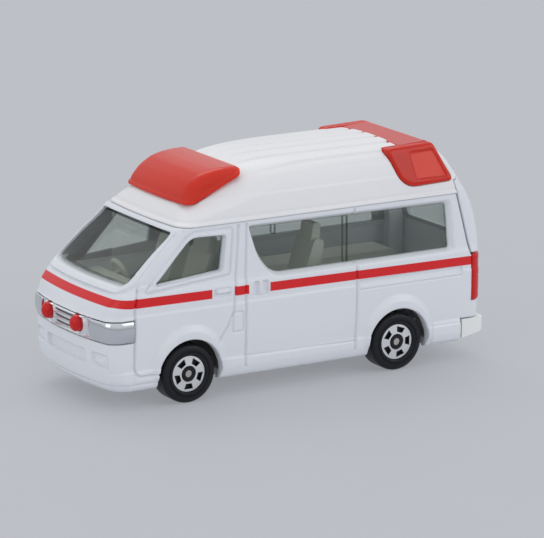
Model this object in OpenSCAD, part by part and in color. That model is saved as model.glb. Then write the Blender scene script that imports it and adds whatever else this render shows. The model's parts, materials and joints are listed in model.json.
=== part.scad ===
/* [Body] */
// Half width of the body sides
half_w = 13.4; // [12.6:0.1:14.2]
// Front of the bonnet lip, ahead of the origin
nose_x = 37.2; // [36.6:0.1:37.8]
// Rear face of the gate at the belt line, behind the origin
tail_x = 38.4; // [37.8:0.1:38.6]
// Lower edge of the sills
sill_z = 3.3; // [3:0.1:3.7]
// Lower edge of the side glass
belt_z = 20.4; // [19.8:0.1:21]
// Top of the body casting, where the roof moulding sits
gutter_z = 30.3; // [29.8:0.1:31]
// Wall of the body casting
wall = 1.2; // [1:0.1:1.4]
// Depth of the engraved door lines
line_depth = 0.3; // [0.15:0.05:0.45]
// Width of the engraved door lines
line_w = 0.36; // [0.25:0.01:0.6]

/* [Windscreen] */
// Length of the bonnet, from its lip to the foot of the windscreen
bonnet_l = 3.8; // [3.2:0.1:4.4]
// How far the head of the windscreen sits behind its foot
screen_rake = 10.2; // [9.6:0.1:10.8]
// Width of the windscreen pillar at its foot
pillar_w = 2; // [1.8:0.1:2.8]

/* [Roof] */
// Rise of the high roof above the body
roof_h = 7.9; // [7.3:0.1:8.5]
// How far the foot of the roof sits in from the body sides
roof_tuck = 0.7; // [0.4:0.1:1.2]
// Wall of the roof moulding
roof_wall = 1; // [0.8:0.1:1.2]
// Number of ribs along the roof
rib_count = 5; // [3:1:7]
// Spacing of the roof ribs
rib_pitch = 4; // [2.6:0.1:4.2]
// Height of the roof ribs
rib_h = 0.35; // [0.2:0.05:0.5]

/* [Running gear] */
// From the bonnet lip back to the front axle
front_overhang = 16.6; // [16:0.1:17.2]
// From the gate forward to the rear axle
rear_overhang = 18; // [17:0.1:19]
// Wheel radius
wheel_r = 5; // [4.6:0.1:5.3]
// Wheel width
wheel_w = 4.2; // [3.6:0.1:4.6]
// Axle pin radius
axle_r = 0.45; // [0.4:0.05:0.7]
// Gap between the tyres and the wheel arches
arch_gap = 1; // [0.8:0.1:1.4]
// How far the arch flares stand out
flare_h = 0.35; // [0.2:0.05:0.5]
// Travel of the sprung axles
axle_travel = 0.6; // [0.3:0.05:0.9]

/* [Base plate] */
// Thickness of the base plate
base_t = 1.2; // [0.9:0.1:1.5]
// How far the rear bumper stands out behind the gate
bumper_reach = 0.5; // [0.2:0.1:0.9]
// Height of the rear bumper's top above the sills
bumper_h = 4; // [3.8:0.1:4.9]

/* [Rear gate] */
// Thickness of the gate casting
gate_t = 1.3; // [1.1:0.1:1.5]
// Gap from the bumper up to the gate
gate_lift = 1.4; // [0.6:0.1:1.6]
// Radius of the gate's hinge pins
hinge_r = 0.6; // [0.45:0.05:0.75]

/* [Fits] */
// Gap round the gate and between mouldings
gap = 0.2; // [0.12:0.02:0.3]
// Slip fit between pieces of one assembly
fit = 0.08; // [0.05:0.01:0.12]
// Radial running clearance of pins and axles
run = 0.05; // [0.03:0.01:0.09]

/* [Hidden] */
$fn = 48;

white = [0.93, 0.94, 0.97];
ivory = [0.95, 0.95, 0.92];
clear_red = [0.9, 0.2, 0.15, 0.85];
smoke = [0.35, 0.4, 0.38, 0.6];
plated = [0.8, 0.82, 0.85];
beige = [0.75, 0.73, 0.68];

// Places measured back from the bonnet lip and forward from the gate
function fore(d) = nose_x - d;
function aft(d) = d - tail_x;
// Heights as a share of the way from sill to belt, belt to gutter, and gutter to crown
function low(f) = sill_z + (belt_z - sill_z) * f;
function mid(f) = belt_z + (gutter_z - belt_z) * f;
function up(f) = gutter_z + roof_h * f;

// Sizes shared by several pieces
screen_foot_x = fore(bonnet_l);
screen_head_x = screen_foot_x - screen_rake;
screen_half_w = half_w - pillar_w;
roof_top_z = up(1);
roof_half_w = half_w - roof_tuck;
front_axle_x = fore(front_overhang);
rear_axle_x = aft(rear_overhang);
arch_r = wheel_r + arch_gap;
bumper_x = tail_x + bumper_reach;
bumper_z = sill_z + bumper_h;
gate_z0 = bumper_z + gate_lift;
gate_z1 = up(0.506);
lamp_z0 = low(0.497);
lamp_z1 = low(0.713);
screen_z0 = belt_z + 0.4;
screen_z1 = gutter_z - 1.5;
deck_z = gutter_z - 1.3;
track = half_w - 0.2;
hub_y = track - wheel_w;

// A cubic curve through the points of a table, read at height z
function seg(z, t) = max([for (i = [0 : len(t) - 2]) (z >= t[i][0] || i == 0) ? i : 0]);
function rise(t, i) = (t[i + 1][1] - t[i][1]) / (t[i + 1][0] - t[i][0]);
function slope(t, i) = i == 0 ? rise(t, 0)
  : i == len(t) - 1 ? rise(t, i - 1)
  : rise(t, i - 1) * rise(t, i) <= 0 ? 0
  : 2 * rise(t, i - 1) * rise(t, i) / (rise(t, i - 1) + rise(t, i));
function curve(z, t) =
  let (i = seg(z, t), h = t[i + 1][0] - t[i][0], u = min(1, max(0, (z - t[i][0]) / h)))
  (2 * pow(u, 3) - 3 * pow(u, 2) + 1) * t[i][1] + (pow(u, 3) - 2 * pow(u, 2) + u) * h * slope(t, i)
  + (3 * pow(u, 2) - 2 * pow(u, 3)) * t[i + 1][1] + (pow(u, 3) - pow(u, 2)) * h * slope(t, i + 1);

// Centre line of the front, from the bumper lip over bonnet and windscreen
nose_table = [[sill_z - 1, fore(2.4)], [sill_z, fore(1.8)], [low(0.111), fore(0.7)],
  [low(0.298), fore(0.3)], [lamp_z0, fore(0.2)], [lamp_z1, fore(0)], [low(0.743), fore(0.3)],
  [low(0.871), fore(1.5)], [screen_z0, screen_foot_x], [mid(0.465), screen_head_x + screen_rake / 2],
  [screen_z1, screen_head_x], [gutter_z, screen_head_x - 1.2]];
// Half width of the body from the sill to the roof's crown
side_table = [[sill_z - 1, half_w - 1.4], [sill_z, half_w - 0.8], [low(0.076), half_w - 0.2],
  [low(0.216), half_w], [low(0.737), half_w], [low(0.778), half_w - 0.14],
  [low(0.912), half_w - 0.14], [belt_z - 0.2, half_w - 0.42], [mid(0.465), roof_half_w + 0.16],
  [screen_z1, roof_half_w + 0.1], [up(0.01), roof_half_w],
  [up(0.48), roof_half_w - 0.7], [up(0.74), roof_half_w - 1.5], [up(0.88), roof_half_w - 2.7],
  [up(0.95), roof_half_w - 5], [roof_top_z, roof_half_w - 10]];
// Centre line of the rear, from the bumper over the gate to the roof's crown
tail_table = [[sill_z - 1, aft(0.6)], [low(0.509), aft(0)], [belt_z, aft(0)], [mid(0.364), aft(0.55)],
  [mid(0.697), aft(1.5)], [gutter_z, aft(3)], [up(0.55), aft(5.7)], [roof_top_z, aft(9)]];
// Front of the roof, brow and slope under the beacon
brow_table = [[gutter_z - 2, screen_head_x - 1.4], [up(0.08), screen_head_x - 1.7],
  [up(0.21), screen_head_x - 2.6], [up(0.36), screen_head_x - 4.1], [up(0.56), screen_head_x - 7],
  [up(0.79), screen_head_x - 11], [roof_top_z, screen_head_x - 15.8]];
// How far the front falls back 10 mm off the centre line, and the radius of its corners
bow_table = [[sill_z, 1], [low(0.298), 0.8], [lamp_z0, 0.95], [lamp_z1, 0.95], [low(0.871), 0.65],
  [screen_z0, 0.8], [screen_z1, 0.2]];
corner_table = [[sill_z, 2.6], [low(0.298), 2.2], [lamp_z0, 2], [low(0.871), 2.2], [screen_z0, 1.8],
  [screen_z1, 1.8]];
rear_corner = 2.2;
rear_bow = 0.5;

// Half of a plan outline from the front centre to the rear centre, with flat and corner steps
function half_plan(fx, rx, w, bow, rf, rr, nf, nc) = concat(
  [for (j = [0 : nf]) let (y = (w - rf) * j / nf) [fx - bow * pow(y / 10, 2), y]],
  [for (k = [1 : nc]) let (t = 90 * k / nc, y = w - rf + rf * sin(t))
    [fx - bow * pow(y / 10, 2) - rf * (1 - cos(t)), y]],
  [for (k = [nc : -1 : 1]) let (t = 90 * k / nc, y = w - rr + rr * sin(t))
    [rx + rear_bow * pow(y / 10, 2) + rr * (1 - cos(t)), y]],
  [for (j = [1 : -1 : 0]) let (y = (w - rr) * j) [rx + rear_bow * pow(y / 10, 2), y]]);
function both_sides(h) = concat(h, [for (i = [len(h) - 2 : -1 : 1]) [h[i][0], -h[i][1]]]);
// Plan outline of the van at height z: d in from the sides, df from the front, dr from the rear
function van_plan(z, d, df, dr, nf = 3, nc = 5) = both_sides(half_plan(
  curve(z, nose_table) - df, curve(z, tail_table) + dr, curve(z, side_table) - d,
  curve(z, bow_table), max(0.6, curve(z, corner_table) - d), max(0.6, rear_corner - d), nf, nc));
function roof_plan(z, d, nf = 2, nc = 4) = both_sides(half_plan(
  curve(z, brow_table) - d, curve(z, tail_table) + d, curve(z, side_table) - d, 0.5,
  min(3.6 - d, 0.4 * curve(z, side_table)), min(rear_corner - d / 2, 0.4 * curve(z, side_table)), nf, nc));
// Rear end only, closed by a flat face at x0
function tail_plan(z, d, dr, x0) = let (w = curve(z, side_table) - d, rx = curve(z, tail_table) + dr,
  rr = max(0.6, rear_corner - d)) concat([[x0, -w], [x0, w]],
  [for (k = [5 : -1 : 0]) let (t = 90 * k / 5, y = w - rr + rr * sin(t))
    [rx + rear_bow * pow(y / 10, 2) + rr * (1 - cos(t)), y]], [[rx, 0]],
  [for (k = [0 : 5]) let (t = 90 * k / 5, y = w - rr + rr * sin(t))
    [rx + rear_bow * pow(y / 10, 2) + rr * (1 - cos(t)), -y]]);

// A solid skinned over plan outlines that all have the same number of points
module stack(levels, plans) {
  n = len(plans[0]);
  m = len(levels);
  points = [for (i = [0 : m - 1]) for (p = plans[i]) [p[0], p[1], levels[i]]];
  sides = [for (i = [0 : m - 2]) for (j = [0 : n - 1])
    let (a = i * n + j, b = i * n + (j + 1) % n) each [[a, b + n, b], [a, a + n, b + n]]];
  polyhedron(points, concat([[for (j = [0 : n - 1]) j]], sides,
    [[for (j = [n - 1 : -1 : 0]) (m - 1) * n + j]]));
}
module van(levels, d = 0, df = 0, dr = 0) {
  stack(levels, [for (z = levels) van_plan(z, d, df, dr)]);
}
module tail(levels, d = 0, dr = 0, x0 = aft(14.4)) {
  stack(levels, [for (z = levels) tail_plan(z, d, dr, x0)]);
}
function steps(a, b, n) = [for (i = [0 : n]) a + (b - a) * i / n];

// Level heights: close together where the form turns quickly
glass_levels = concat([screen_z0 - 0.6], steps(screen_z0 + 0.6, screen_z1 - 0.8, 5), [screen_z1 + 0.2]);
body_levels = concat([for (f = [0, 0.035, 0.076, 0.135, 0.216, 0.298, 0.404]) low(f)],
  [lamp_z0, low(0.602), low(0.678), lamp_z1, low(0.737), low(0.778), low(0.871), low(0.912)],
  glass_levels, [gutter_z]);
roof_levels = [for (f = [0, 0.08, 0.21, 0.36, 0.53, 0.69, 0.8, 0.88, 0.95, 1]) up(f)];
gate_levels = concat(steps(gate_z0 - 0.5, belt_z, 3), steps(belt_z + 2, gate_z1 + 0.6, 6));

// Profile helpers
module along_y(y0, y1) translate([0, y1, 0]) rotate([90, 0, 0]) linear_extrude(y1 - y0) children();
module along_x(x0, x1) translate([x0, 0, 0]) rotate([90, 0, 90]) linear_extrude(x1 - x0) children();
module pair() {
  children();
  mirror([0, 1, 0]) children();
}
module rod_y(x, z, r, y0, y1) translate([x, y1, z]) rotate([90, 0, 0]) cylinder(r = r, h = y1 - y0);

// Corners of an outline rounded by short curves, with a radius for each corner
function unit(v) = v / norm(v);
function soft(p, r, n = 4) = [for (i = [0 : len(p) - 1])
  let (b = p[i], a = b + unit(p[(i + len(p) - 1) % len(p)] - b) * r[i],
    c = b + unit(p[(i + 1) % len(p)] - b) * r[i])
  each r[i] == 0 ? [b] : [for (k = [0 : n]) let (t = k / n)
    pow(1 - t, 2) * a + 2 * t * (1 - t) * b + pow(t, 2) * c]];
// A stroke of width w along a path of points
function side_of(p, i) =
  let (a = p[max(0, i - 1)], b = p[min(len(p) - 1, i + 1)], u = unit(b - a)) [-u[1], u[0]];
function stroke(p, w) = concat([for (i = [0 : len(p) - 1]) p[i] + side_of(p, i) * w / 2],
  [for (i = [len(p) - 1 : -1 : 0]) p[i] - side_of(p, i) * w / 2]);

// Side glass, read in X and Z
cab_window = [[fore(10.7), belt_z + 0.6], [fore(17.1), gutter_z - 2.6], [fore(23.6), gutter_z - 2.7],
  [fore(22.9), belt_z + 1.5]];
cab_frame = [[fore(8.3), belt_z - 0.4], [fore(17), gutter_z - 1.5], [fore(25), gutter_z - 1.6],
  [fore(24.4), belt_z + 0.6]];
long_window = [[fore(28.4), gutter_z - 2], [fore(30.6), belt_z + 2.5], [fore(32.8), belt_z - 0.3],
  [aft(7.3), belt_z - 0.3], [aft(8), gutter_z - 2.3]];
function in_by(p, d) =
  let (c = [for (k = [0, 1]) (max([for (q = p) q[k]]) + min([for (q = p) q[k]])) / 2])
  [for (q = p) q - [sign(q[0] - c[0]), sign(q[1] - c[1])] * d];
module cab_glass(d) polygon(soft(in_by(cab_window, d), [0.8, 1.2, 0.9, 0.9]));
module long_glass(d) polygon(soft(in_by(long_window, d), [0.5, 1, 1.6, 0.6, 0.6]));
screen_top_w = screen_half_w - 0.5;
module screen(d) polygon(soft([[screen_half_w - d, screen_z0 + d], [screen_top_w - d, screen_z1 - d],
  [d - screen_top_w, screen_z1 - d], [d - screen_half_w, screen_z0 + d]], [1.6, 0.6, 0.6, 1.6]));
module window_cut(d) {
  pair() along_y(half_w - 4, half_w + 2) cab_glass(d);
  pair() along_y(half_w - 4, half_w + 2) long_glass(d);
  along_x(screen_head_x - 4, nose_x + 2) screen(d);
}

// Engraved lines of one side, read in X and Z
cab_x0 = fore(6.2);
cab_x1 = fore(25.6);
slide_x0 = fore(27.5);
slide_x1 = aft(26.6);
line_top = gutter_z - 1.2;
module door_lines() {
  polygon(stroke([[cab_x0, belt_z - 0.9], [cab_x0, low(0.193)], [cab_x0 - 0.8, low(0.146)],
    [front_axle_x + arch_r - 1, low(0.146)]], line_w));
  polygon(stroke([[cab_x1 - 0.5, line_top], [cab_x1, low(0.813)], [cab_x1 + 0.15, low(0.731)],
    [cab_x1 + 0.6, low(0.637)], [cab_x1 + 1.4, low(0.544)], [cab_x1 + 2.8, low(0.439)]], line_w));
  polygon(stroke([[slide_x0, line_top], [slide_x0, low(0.088)]], line_w));
  polygon(stroke([[slide_x1, line_top], [slide_x1, belt_z - 0.32]], line_w));
  polygon(stroke([[slide_x1, belt_z - 0.28], [slide_x1, low(0.088)]], line_w));
  polygon(stroke([[slide_x0, low(0.205)], [slide_x1, low(0.205)]], line_w));
}
module flap(d) polygon(soft([[fore(24.7) - d, low(0.667) - d], [fore(26.8) + d, low(0.667) - d],
  [fore(26.8) + d, low(0.433) + d], [fore(24.7) - d, low(0.433) + d]], [0.4, 0.4, 0.4, 0.4]));
module fuel_flap() difference() {
  flap(0);
  flap(line_w);
}
module slide_rail() translate([aft(5.4), low(0.713)]) square([slide_x1 - 0.8 - aft(5.4), 1.2]);
module handle_wells() {
  translate([fore(24.2), low(0.83)]) square([2.9, 1.3]);
  translate([fore(31), low(0.807)]) square([1.9, 1.9]);
}

// Rear gate outline on the side and hinge place
hinge_x = aft(6.2);
hinge_z = gate_z1 - 0.9;
gate_lamp_w = half_w - 2.6;
gate_waist = low(0.912);
module gate_zone(g) {
  along_y(-half_w - 2, half_w + 2) polygon([[aft(7), gate_z1 + g], [aft(6) + g, gutter_z],
    [aft(3) + g, gate_waist - g], [aft(-4), gate_waist - g], [aft(-4), gate_z1 + g]]);
  along_y(-gate_lamp_w - g, gate_lamp_w + g) polygon([[aft(3) + g, gate_waist],
    [aft(3) + g, gate_z0 - g], [aft(-4), gate_z0 - g], [aft(-4), gate_waist]]);
}
hinge_half = half_w - 5;
ear_w = 1.6;
sweep_r = 1.35;
knuckle_r = sweep_r + 0.2;
pin_end = hinge_half + gap + ear_w;

// Ring that swells round a wheel arch, down to the sill's bulge
flare_z = sill_z + 1.7;
module flare(x) translate([x, half_w - 0.5, wheel_r]) rotate([-90, 0, 0]) rotate_extrude()
  polygon([[arch_r - 0.6, 0], [arch_r + 1.9, 0], [arch_r + 1.9, 0.4], [arch_r + 1.4, 0.5 + flare_h * 0.55],
    [arch_r + 0.8, 0.5 + flare_h], [arch_r + 0.2, 0.5 + flare_h], [arch_r - 0.6, 0.5 + flare_h * 0.6]]);

post_r = 1.7;
pin_r = 1.1;
head_r = 1.6;
head_t = 0.5;
base_z = sill_z + 0.1;
base_top = base_z + base_t;
front_post_x = fore(7.8);
rear_post_x = aft(7);
module post(x, top) translate([x, 0, 0]) {
  translate([0, 0, base_top]) cylinder(r = post_r, h = top - base_top);
  translate([0, 0, base_z + head_t]) cylinder(r = pin_r, h = base_t);
  translate([0, 0, base_z + 0.1]) cylinder(r = head_r, h = head_t);
}

nose_wall = 2.8;
// Doorway behind the gate: half width and lower edge
door_w = half_w - 3.6;
door_z = low(0.45);
// Width of the ledge that carries the roof
deck_w = 1.6;
// Bead round the windscreen
bead_w = 1.2;
bead_h = 0.35;
bead_levels = concat([screen_z0 - 1.5], glass_levels, [gutter_z - 0.2]);
rear_frame = 5;
cavity_levels = concat([sill_z - 1, low(0.076), low(0.298), lamp_z0, lamp_z1, low(0.871), low(0.912)],
  glass_levels, [deck_z]);
module cavity() {
  stack(cavity_levels, [for (z = cavity_levels)
    van_plan(z, wall, z < belt_z - 0.5 ? nose_wall : 1.35 * wall, rear_frame, 2, 4)]);
  stack([deck_z - 0.2, gutter_z + 1], [for (i = [0, 1])
    van_plan(deck_z, wall + deck_w, wall + deck_w + 0.6, rear_frame + 1)]);
  translate([0, 0, -1]) linear_extrude(base_top + fit + 1) base_outline(0);
}

bumper_front_x = aft(5);
// Block on the side behind the rear wheel that carries the bumper's line forward
module side_block() along_y(half_w - 0.6, half_w + 0.28) polygon(soft([[bumper_front_x, low(0.035)],
  [bumper_front_x, low(0.234)], [rear_axle_x - arch_r - 0.6, low(0.234)],
  [rear_axle_x - arch_r - 0.6, low(0.035)]], [0.5, 0.6, 0.8, 0.5]));
module body_shell() color(white) difference() {
  union() {
    difference() {
      union() {
        van(body_levels);
        intersection() {
          van(bead_levels, -bead_h, -bead_h);
          along_x(screen_head_x - 4, nose_x + 2) screen(-bead_w);
        }
      }
      cavity();
    }
    intersection() {
      pair() {
        flare(front_axle_x);
        flare(rear_axle_x);
      }
      translate([-50, -50, flare_z]) cube([100, 100, 40]);
    }
    pair() side_block();
    post(front_post_x, lamp_z1);
    translate([front_post_x, -0.6, low(0.275)]) cube([5, 1.2, lamp_z1 - low(0.275)]);
    post(rear_post_x, bumper_z + 1);
  }
  window_cut(0);
  pair() for (x = [front_axle_x, rear_axle_x]) rod_y(x, wheel_r, arch_r, hub_y - 1, half_w + 2);
  // Engraved lines and shallow wells, no deeper than the line depth
  difference() {
    union() {
      pair() along_y(half_w - 2, half_w + 2) {
        door_lines();
        slide_rail();
        handle_wells();
      }
      along_y(half_w - 2, half_w + 2) fuel_flap();
      pair() along_y(half_w - 2, half_w + 2) polygon(soft(cab_frame, [1, 1.4, 1.2, 1]));
      along_x(cab_x0, nose_x + 2) {
        translate([7.8 - half_w, low(0.216)]) square([2 * (half_w - 7.8), 3]);
        pair_2d() translate([half_w - 5.8, low(0.205)]) square([2.8, 2.2]);
      }
    }
    van(body_levels, line_depth, line_depth, line_depth);
  }
  // Rear frame: gate seat, doorway, bumper seat and roof joint
  difference() {
    gate_zone(gap);
    tail(gate_levels, 0, gate_t + gap);
  }
  along_x(aft(-2), aft(10.4)) translate([-door_w, door_z]) square([2 * door_w, deck_z - 0.4 - door_z]);
  translate([aft(-4), -half_w - 4, -1]) cube([bumper_front_x - aft(-4), 2 * half_w + 8, bumper_z + gap + 1]);
  grille_seat();
  tail_lamp_seat();
  mirror([0, 1, 0]) tail_lamp_seat();
}
module pair_2d() {
  children();
  mirror([1, 0]) children();
}

// Plated band across the nose
grille_t = 1;
grille_levels = steps(lamp_z0 - 0.5, lamp_z1 + 0.5, 3);
module nose_band(d0, d1, g) intersection() {
  difference() {
    van(grille_levels, -d0, -d0);
    van(grille_levels, d1, d1);
  }
  translate([cab_x0 - g, -half_w - 4, lamp_z0 - g]) cube([20, 2 * half_w + 8, lamp_z1 - lamp_z0 + 2 * g]);
}
module grille_seat() nose_band(1, grille_t + fit, fit);
lamp_y = half_w - 8.5;
lamp_z = low(0.626);
lamp_r = 1.35;
lamp_seat = 1.15;
lamp_reach = 1.7;
lamp_len = lamp_reach + lamp_seat;
lamp_dome = 0.9;
module lamp_place(s) translate([nose_x - lamp_seat, s * lamp_y, lamp_z]) rotate([0, 90, 0]) children();
module front_grille() color(plated) difference() {
  nose_band(0, grille_t, -fit / 2);
  for (s = [-1, 1]) lamp_place(s) cylinder(r = lamp_r + fit, h = 4);
  for (k = [0 : 2]) along_x(nose_x - 0.75, nose_x + 2) translate([lamp_r + 0.35 - lamp_y, lamp_z0 + 0.6 + k])
    square([2 * (lamp_y - lamp_r - 0.35), 0.45]);
}
module grille_lamp(s) color(clear_red) lamp_place(s) rotate_extrude()
  polygon(concat([[0, 0], [lamp_r, 0]], 
    [for (t = [0 : 15 : 90]) [lamp_r * cos(t), lamp_len - lamp_dome + lamp_dome * sin(t)]]));
module left_grille_lamp() grille_lamp(1);
module right_grille_lamp() grille_lamp(-1);

// Red lamps let into the rear corners of the body
tail_lamp_z0 = low(0.421);
tail_lamp_z1 = low(0.895);
tail_lamp_t = 1.1;
tail_lamp_levels = steps(tail_lamp_z0 - 0.5, tail_lamp_z1 + 0.5, 3);
module tail_lamp_form(d0, d1, g) intersection() {
  difference() {
    tail(tail_lamp_levels, -d0, -d0);
    tail(tail_lamp_levels, d1, d1, aft(18.4));
  }
  translate([aft(-4), gate_lamp_w + gap + 0.3 - g, tail_lamp_z0 - g])
    cube([7 + g, 10, tail_lamp_z1 - tail_lamp_z0 + 2 * g]);
}
module tail_lamp_seat() tail_lamp_form(1, tail_lamp_t + fit, fit);
module left_tail_lamp() color(clear_red) tail_lamp_form(0, tail_lamp_t, -fit / 2);
module right_tail_lamp() color(clear_red) mirror([0, 1, 0]) tail_lamp_form(0, tail_lamp_t, -fit / 2);

// Top-hinged gate: a cap cut from the tail, a hinge barrel and two pins
gate_window_w = half_w - 4.2;
gate_head_w = gate_window_w - 0.9;
gate_head_z = gutter_z - 2.3;
module gate_pane(d) polygon(soft([[gate_window_w - d, belt_z + 0.6 + d], [gate_head_w - d, gate_head_z - d],
  [d - gate_head_w, gate_head_z - d], [d - gate_window_w, belt_z + 0.6 + d]], [1.2, 1, 1, 1.2]));
grip_w = 4;
module rear_gate() color(white) {
  difference() {
    union() {
      intersection() {
        difference() {
          tail(gate_levels);
          tail(gate_levels, 0, gate_t, aft(18.4));
        }
        gate_zone(0);
      }
      intersection() {
        along_y(-hinge_half, hinge_half) polygon([[hinge_x, hinge_z - 0.8], [hinge_x, hinge_z + 0.8],
          [aft(5.4), gate_z1 - 0.02], [aft(4.4), gate_z1 - 1.9]]);
        tail(gate_levels, 0.4, 0.3, aft(18.4));
      }
      rod_y(hinge_x, hinge_z, 0.9, -hinge_half, hinge_half);
    }
    along_x(aft(-2), aft(10.4)) gate_pane(0);
    pair() rod_y(hinge_x, hinge_z, knuckle_r + gap, hinge_half, half_w + 4);
    translate([aft(-2), -grip_w, gate_z0 + 1.2]) cube([4.2 - gate_t, 2 * grip_w, 1.2]);
  }
  rod_y(hinge_x, hinge_z, hinge_r, -pin_end, pin_end);
}
module gate_window() color(smoke) intersection() {
  difference() {
    tail(gate_levels, 0, gate_t + fit);
    tail(gate_levels, 0, gate_t + fit + 0.7, aft(18.4));
  }
  along_x(aft(-2), aft(10.4)) gate_pane(-0.5);
}

roof_in_levels = [for (f = [0, 0.21, 0.36, 0.53, 0.69, 0.78]) up(f)];
// High roof: domed shell with ribs, beacon seats, hinge ears and a tongue that enters the body
module high_roof() color(white) difference() {
  union() {
    difference() {
      union() {
        stack(roof_levels, [for (z = roof_levels) roof_plan(z, 0)]);
        stack([deck_z, gutter_z + 0.5], [for (i = [0, 1])
          van_plan(deck_z, wall + deck_w + fit, wall + deck_w + 0.6 + fit, rear_frame + 1 + fit)]);
        for (i = [0 : rib_count - 1]) roof_rib((i - (rib_count - 1) / 2) * rib_pitch);
      }
      stack(concat([deck_z - 1], roof_in_levels, [roof_top_z - roof_wall]),
        [for (z = concat([gutter_z], roof_in_levels, [up(0.88)])) roof_plan(z, roof_wall + 1.6)]);
      difference() {
        gate_zone(gap);
        tail(gate_levels, 0, gate_t + gap);
      }
    }
    pair() hinge_ear();
  }
  beacon_seats();
  rod_y(hinge_x, hinge_z, sweep_r + gap, -hinge_half - gap, hinge_half + gap);
  rod_y(hinge_x, hinge_z, hinge_r + run, -pin_end - gap, pin_end + gap);
}
rib_r = 2.2;
crown = 0.006;
rib_x0 = aft(12.4);
rib_x1 = screen_head_x - 15.2;
module roof_rib(y) translate([rib_x0, y, roof_top_z - rib_r + rib_h - crown * pow(y, 2)])
  rotate([0, 90, 0]) cylinder(r = rib_r, h = rib_x1 - rib_x0);
module hinge_ear() intersection() {
  union() {
    along_y(hinge_half + gap, hinge_half + gap + ear_w) polygon([[hinge_x - 1, hinge_z - 1],
      [hinge_x + 1, hinge_z - 1], [hinge_x + 2.6, roof_top_z], [hinge_x - 1, roof_top_z]]);
    rod_y(hinge_x, hinge_z, knuckle_r, hinge_half + gap, half_w);
  }
  tail(gate_levels, 0.1, 0.1);
}
module beacon_seats() {
  front_beacon_form(fit);
  rear_beacon_form(fit);
}

// Beacons: rounded wedges that grow by g for their seats. A knob is placed back from the head of the
// windscreen or forward from the gate, in from the roof's side, and up the roof's rise
module ball(p, r) translate(p) sphere(r = r, $fn = 16);
function on_brow(d, i, f, s) = [screen_head_x - d, s * (roof_half_w - i), up(f)];
function on_tail(d, i, f, s) = [aft(d), s * (roof_half_w - i), up(f)];
knob_r = 0.6;
foot_r = 0.3;
module front_beacon_form(g) hull() for (s = [-1, 1]) {
  ball(on_brow(4.2, 3, 0.38, s), knob_r + g);
  ball(on_brow(4.9, 3.6, 0.62, s), knob_r + 0.1 + g);
  ball(on_brow(6.7, 3.9, 0.81, s), knob_r + 0.1 + g);
  ball(on_brow(9.6, 4, 0.899, s), knob_r + 0.1 + g);
  ball(on_brow(14, 3.2, 0.924, s), knob_r + g);
  ball(on_brow(7.2, 3.7, 0.342, s), foot_r + g);
  ball(on_brow(13.8, 4.1, 0.722, s), foot_r + g);
}
module rear_lamp_form(s, g) hull() {
  ball(on_tail(19.5, 2.4, 0.949, s), knob_r + g);
  ball(on_tail(10.5, 2.5, 0.975, s), knob_r + g);
  ball(on_tail(7.6, 0.7, 0.3, s), knob_r + g);
  ball(on_tail(15.2, 0.4, 0.247, s), knob_r + g);
  ball(on_tail(16.9, 0.6, 0.38, s), knob_r + g);
  ball(on_tail(8.8, 4.1, 0.671, s), foot_r + 0.1 + g);
}
module rear_beacon_form(g) {
  rear_lamp_form(1, g);
  rear_lamp_form(-1, g);
  hull() for (s = [-1, 1]) {
    ball(on_tail(15.2, 3.7, 0.975, s), knob_r - 0.1 + g);
    ball(on_tail(10.5, 3.7, 0.994, s), knob_r - 0.1 + g);
    ball(on_tail(8.6, 3.7, 0.722, s), foot_r + 0.1 + g);
  }
}
module front_beacon() color(clear_red) front_beacon_form(0);
module rear_beacon() color(clear_red) rear_beacon_form(0);

// Smoke moulding: a ring inside the walls with panes standing into the openings
glass_t = 0.8;
module glazing() color(smoke) difference() {
  union() {
    intersection() {
      van(glass_levels, 0.35, 0.45, rear_frame + 0.5);
      window_cut(fit);
    }
    van(glass_levels, wall + fit, 1.35 * wall + fit, rear_frame + fit);
  }
  van(concat([glass_levels[0] - 1], [for (i = [1 : len(glass_levels) - 2]) glass_levels[i]],
    [screen_z1 + 1]), wall + fit + glass_t, 1.35 * wall + fit + glass_t, rear_frame - 2);
}

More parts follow.
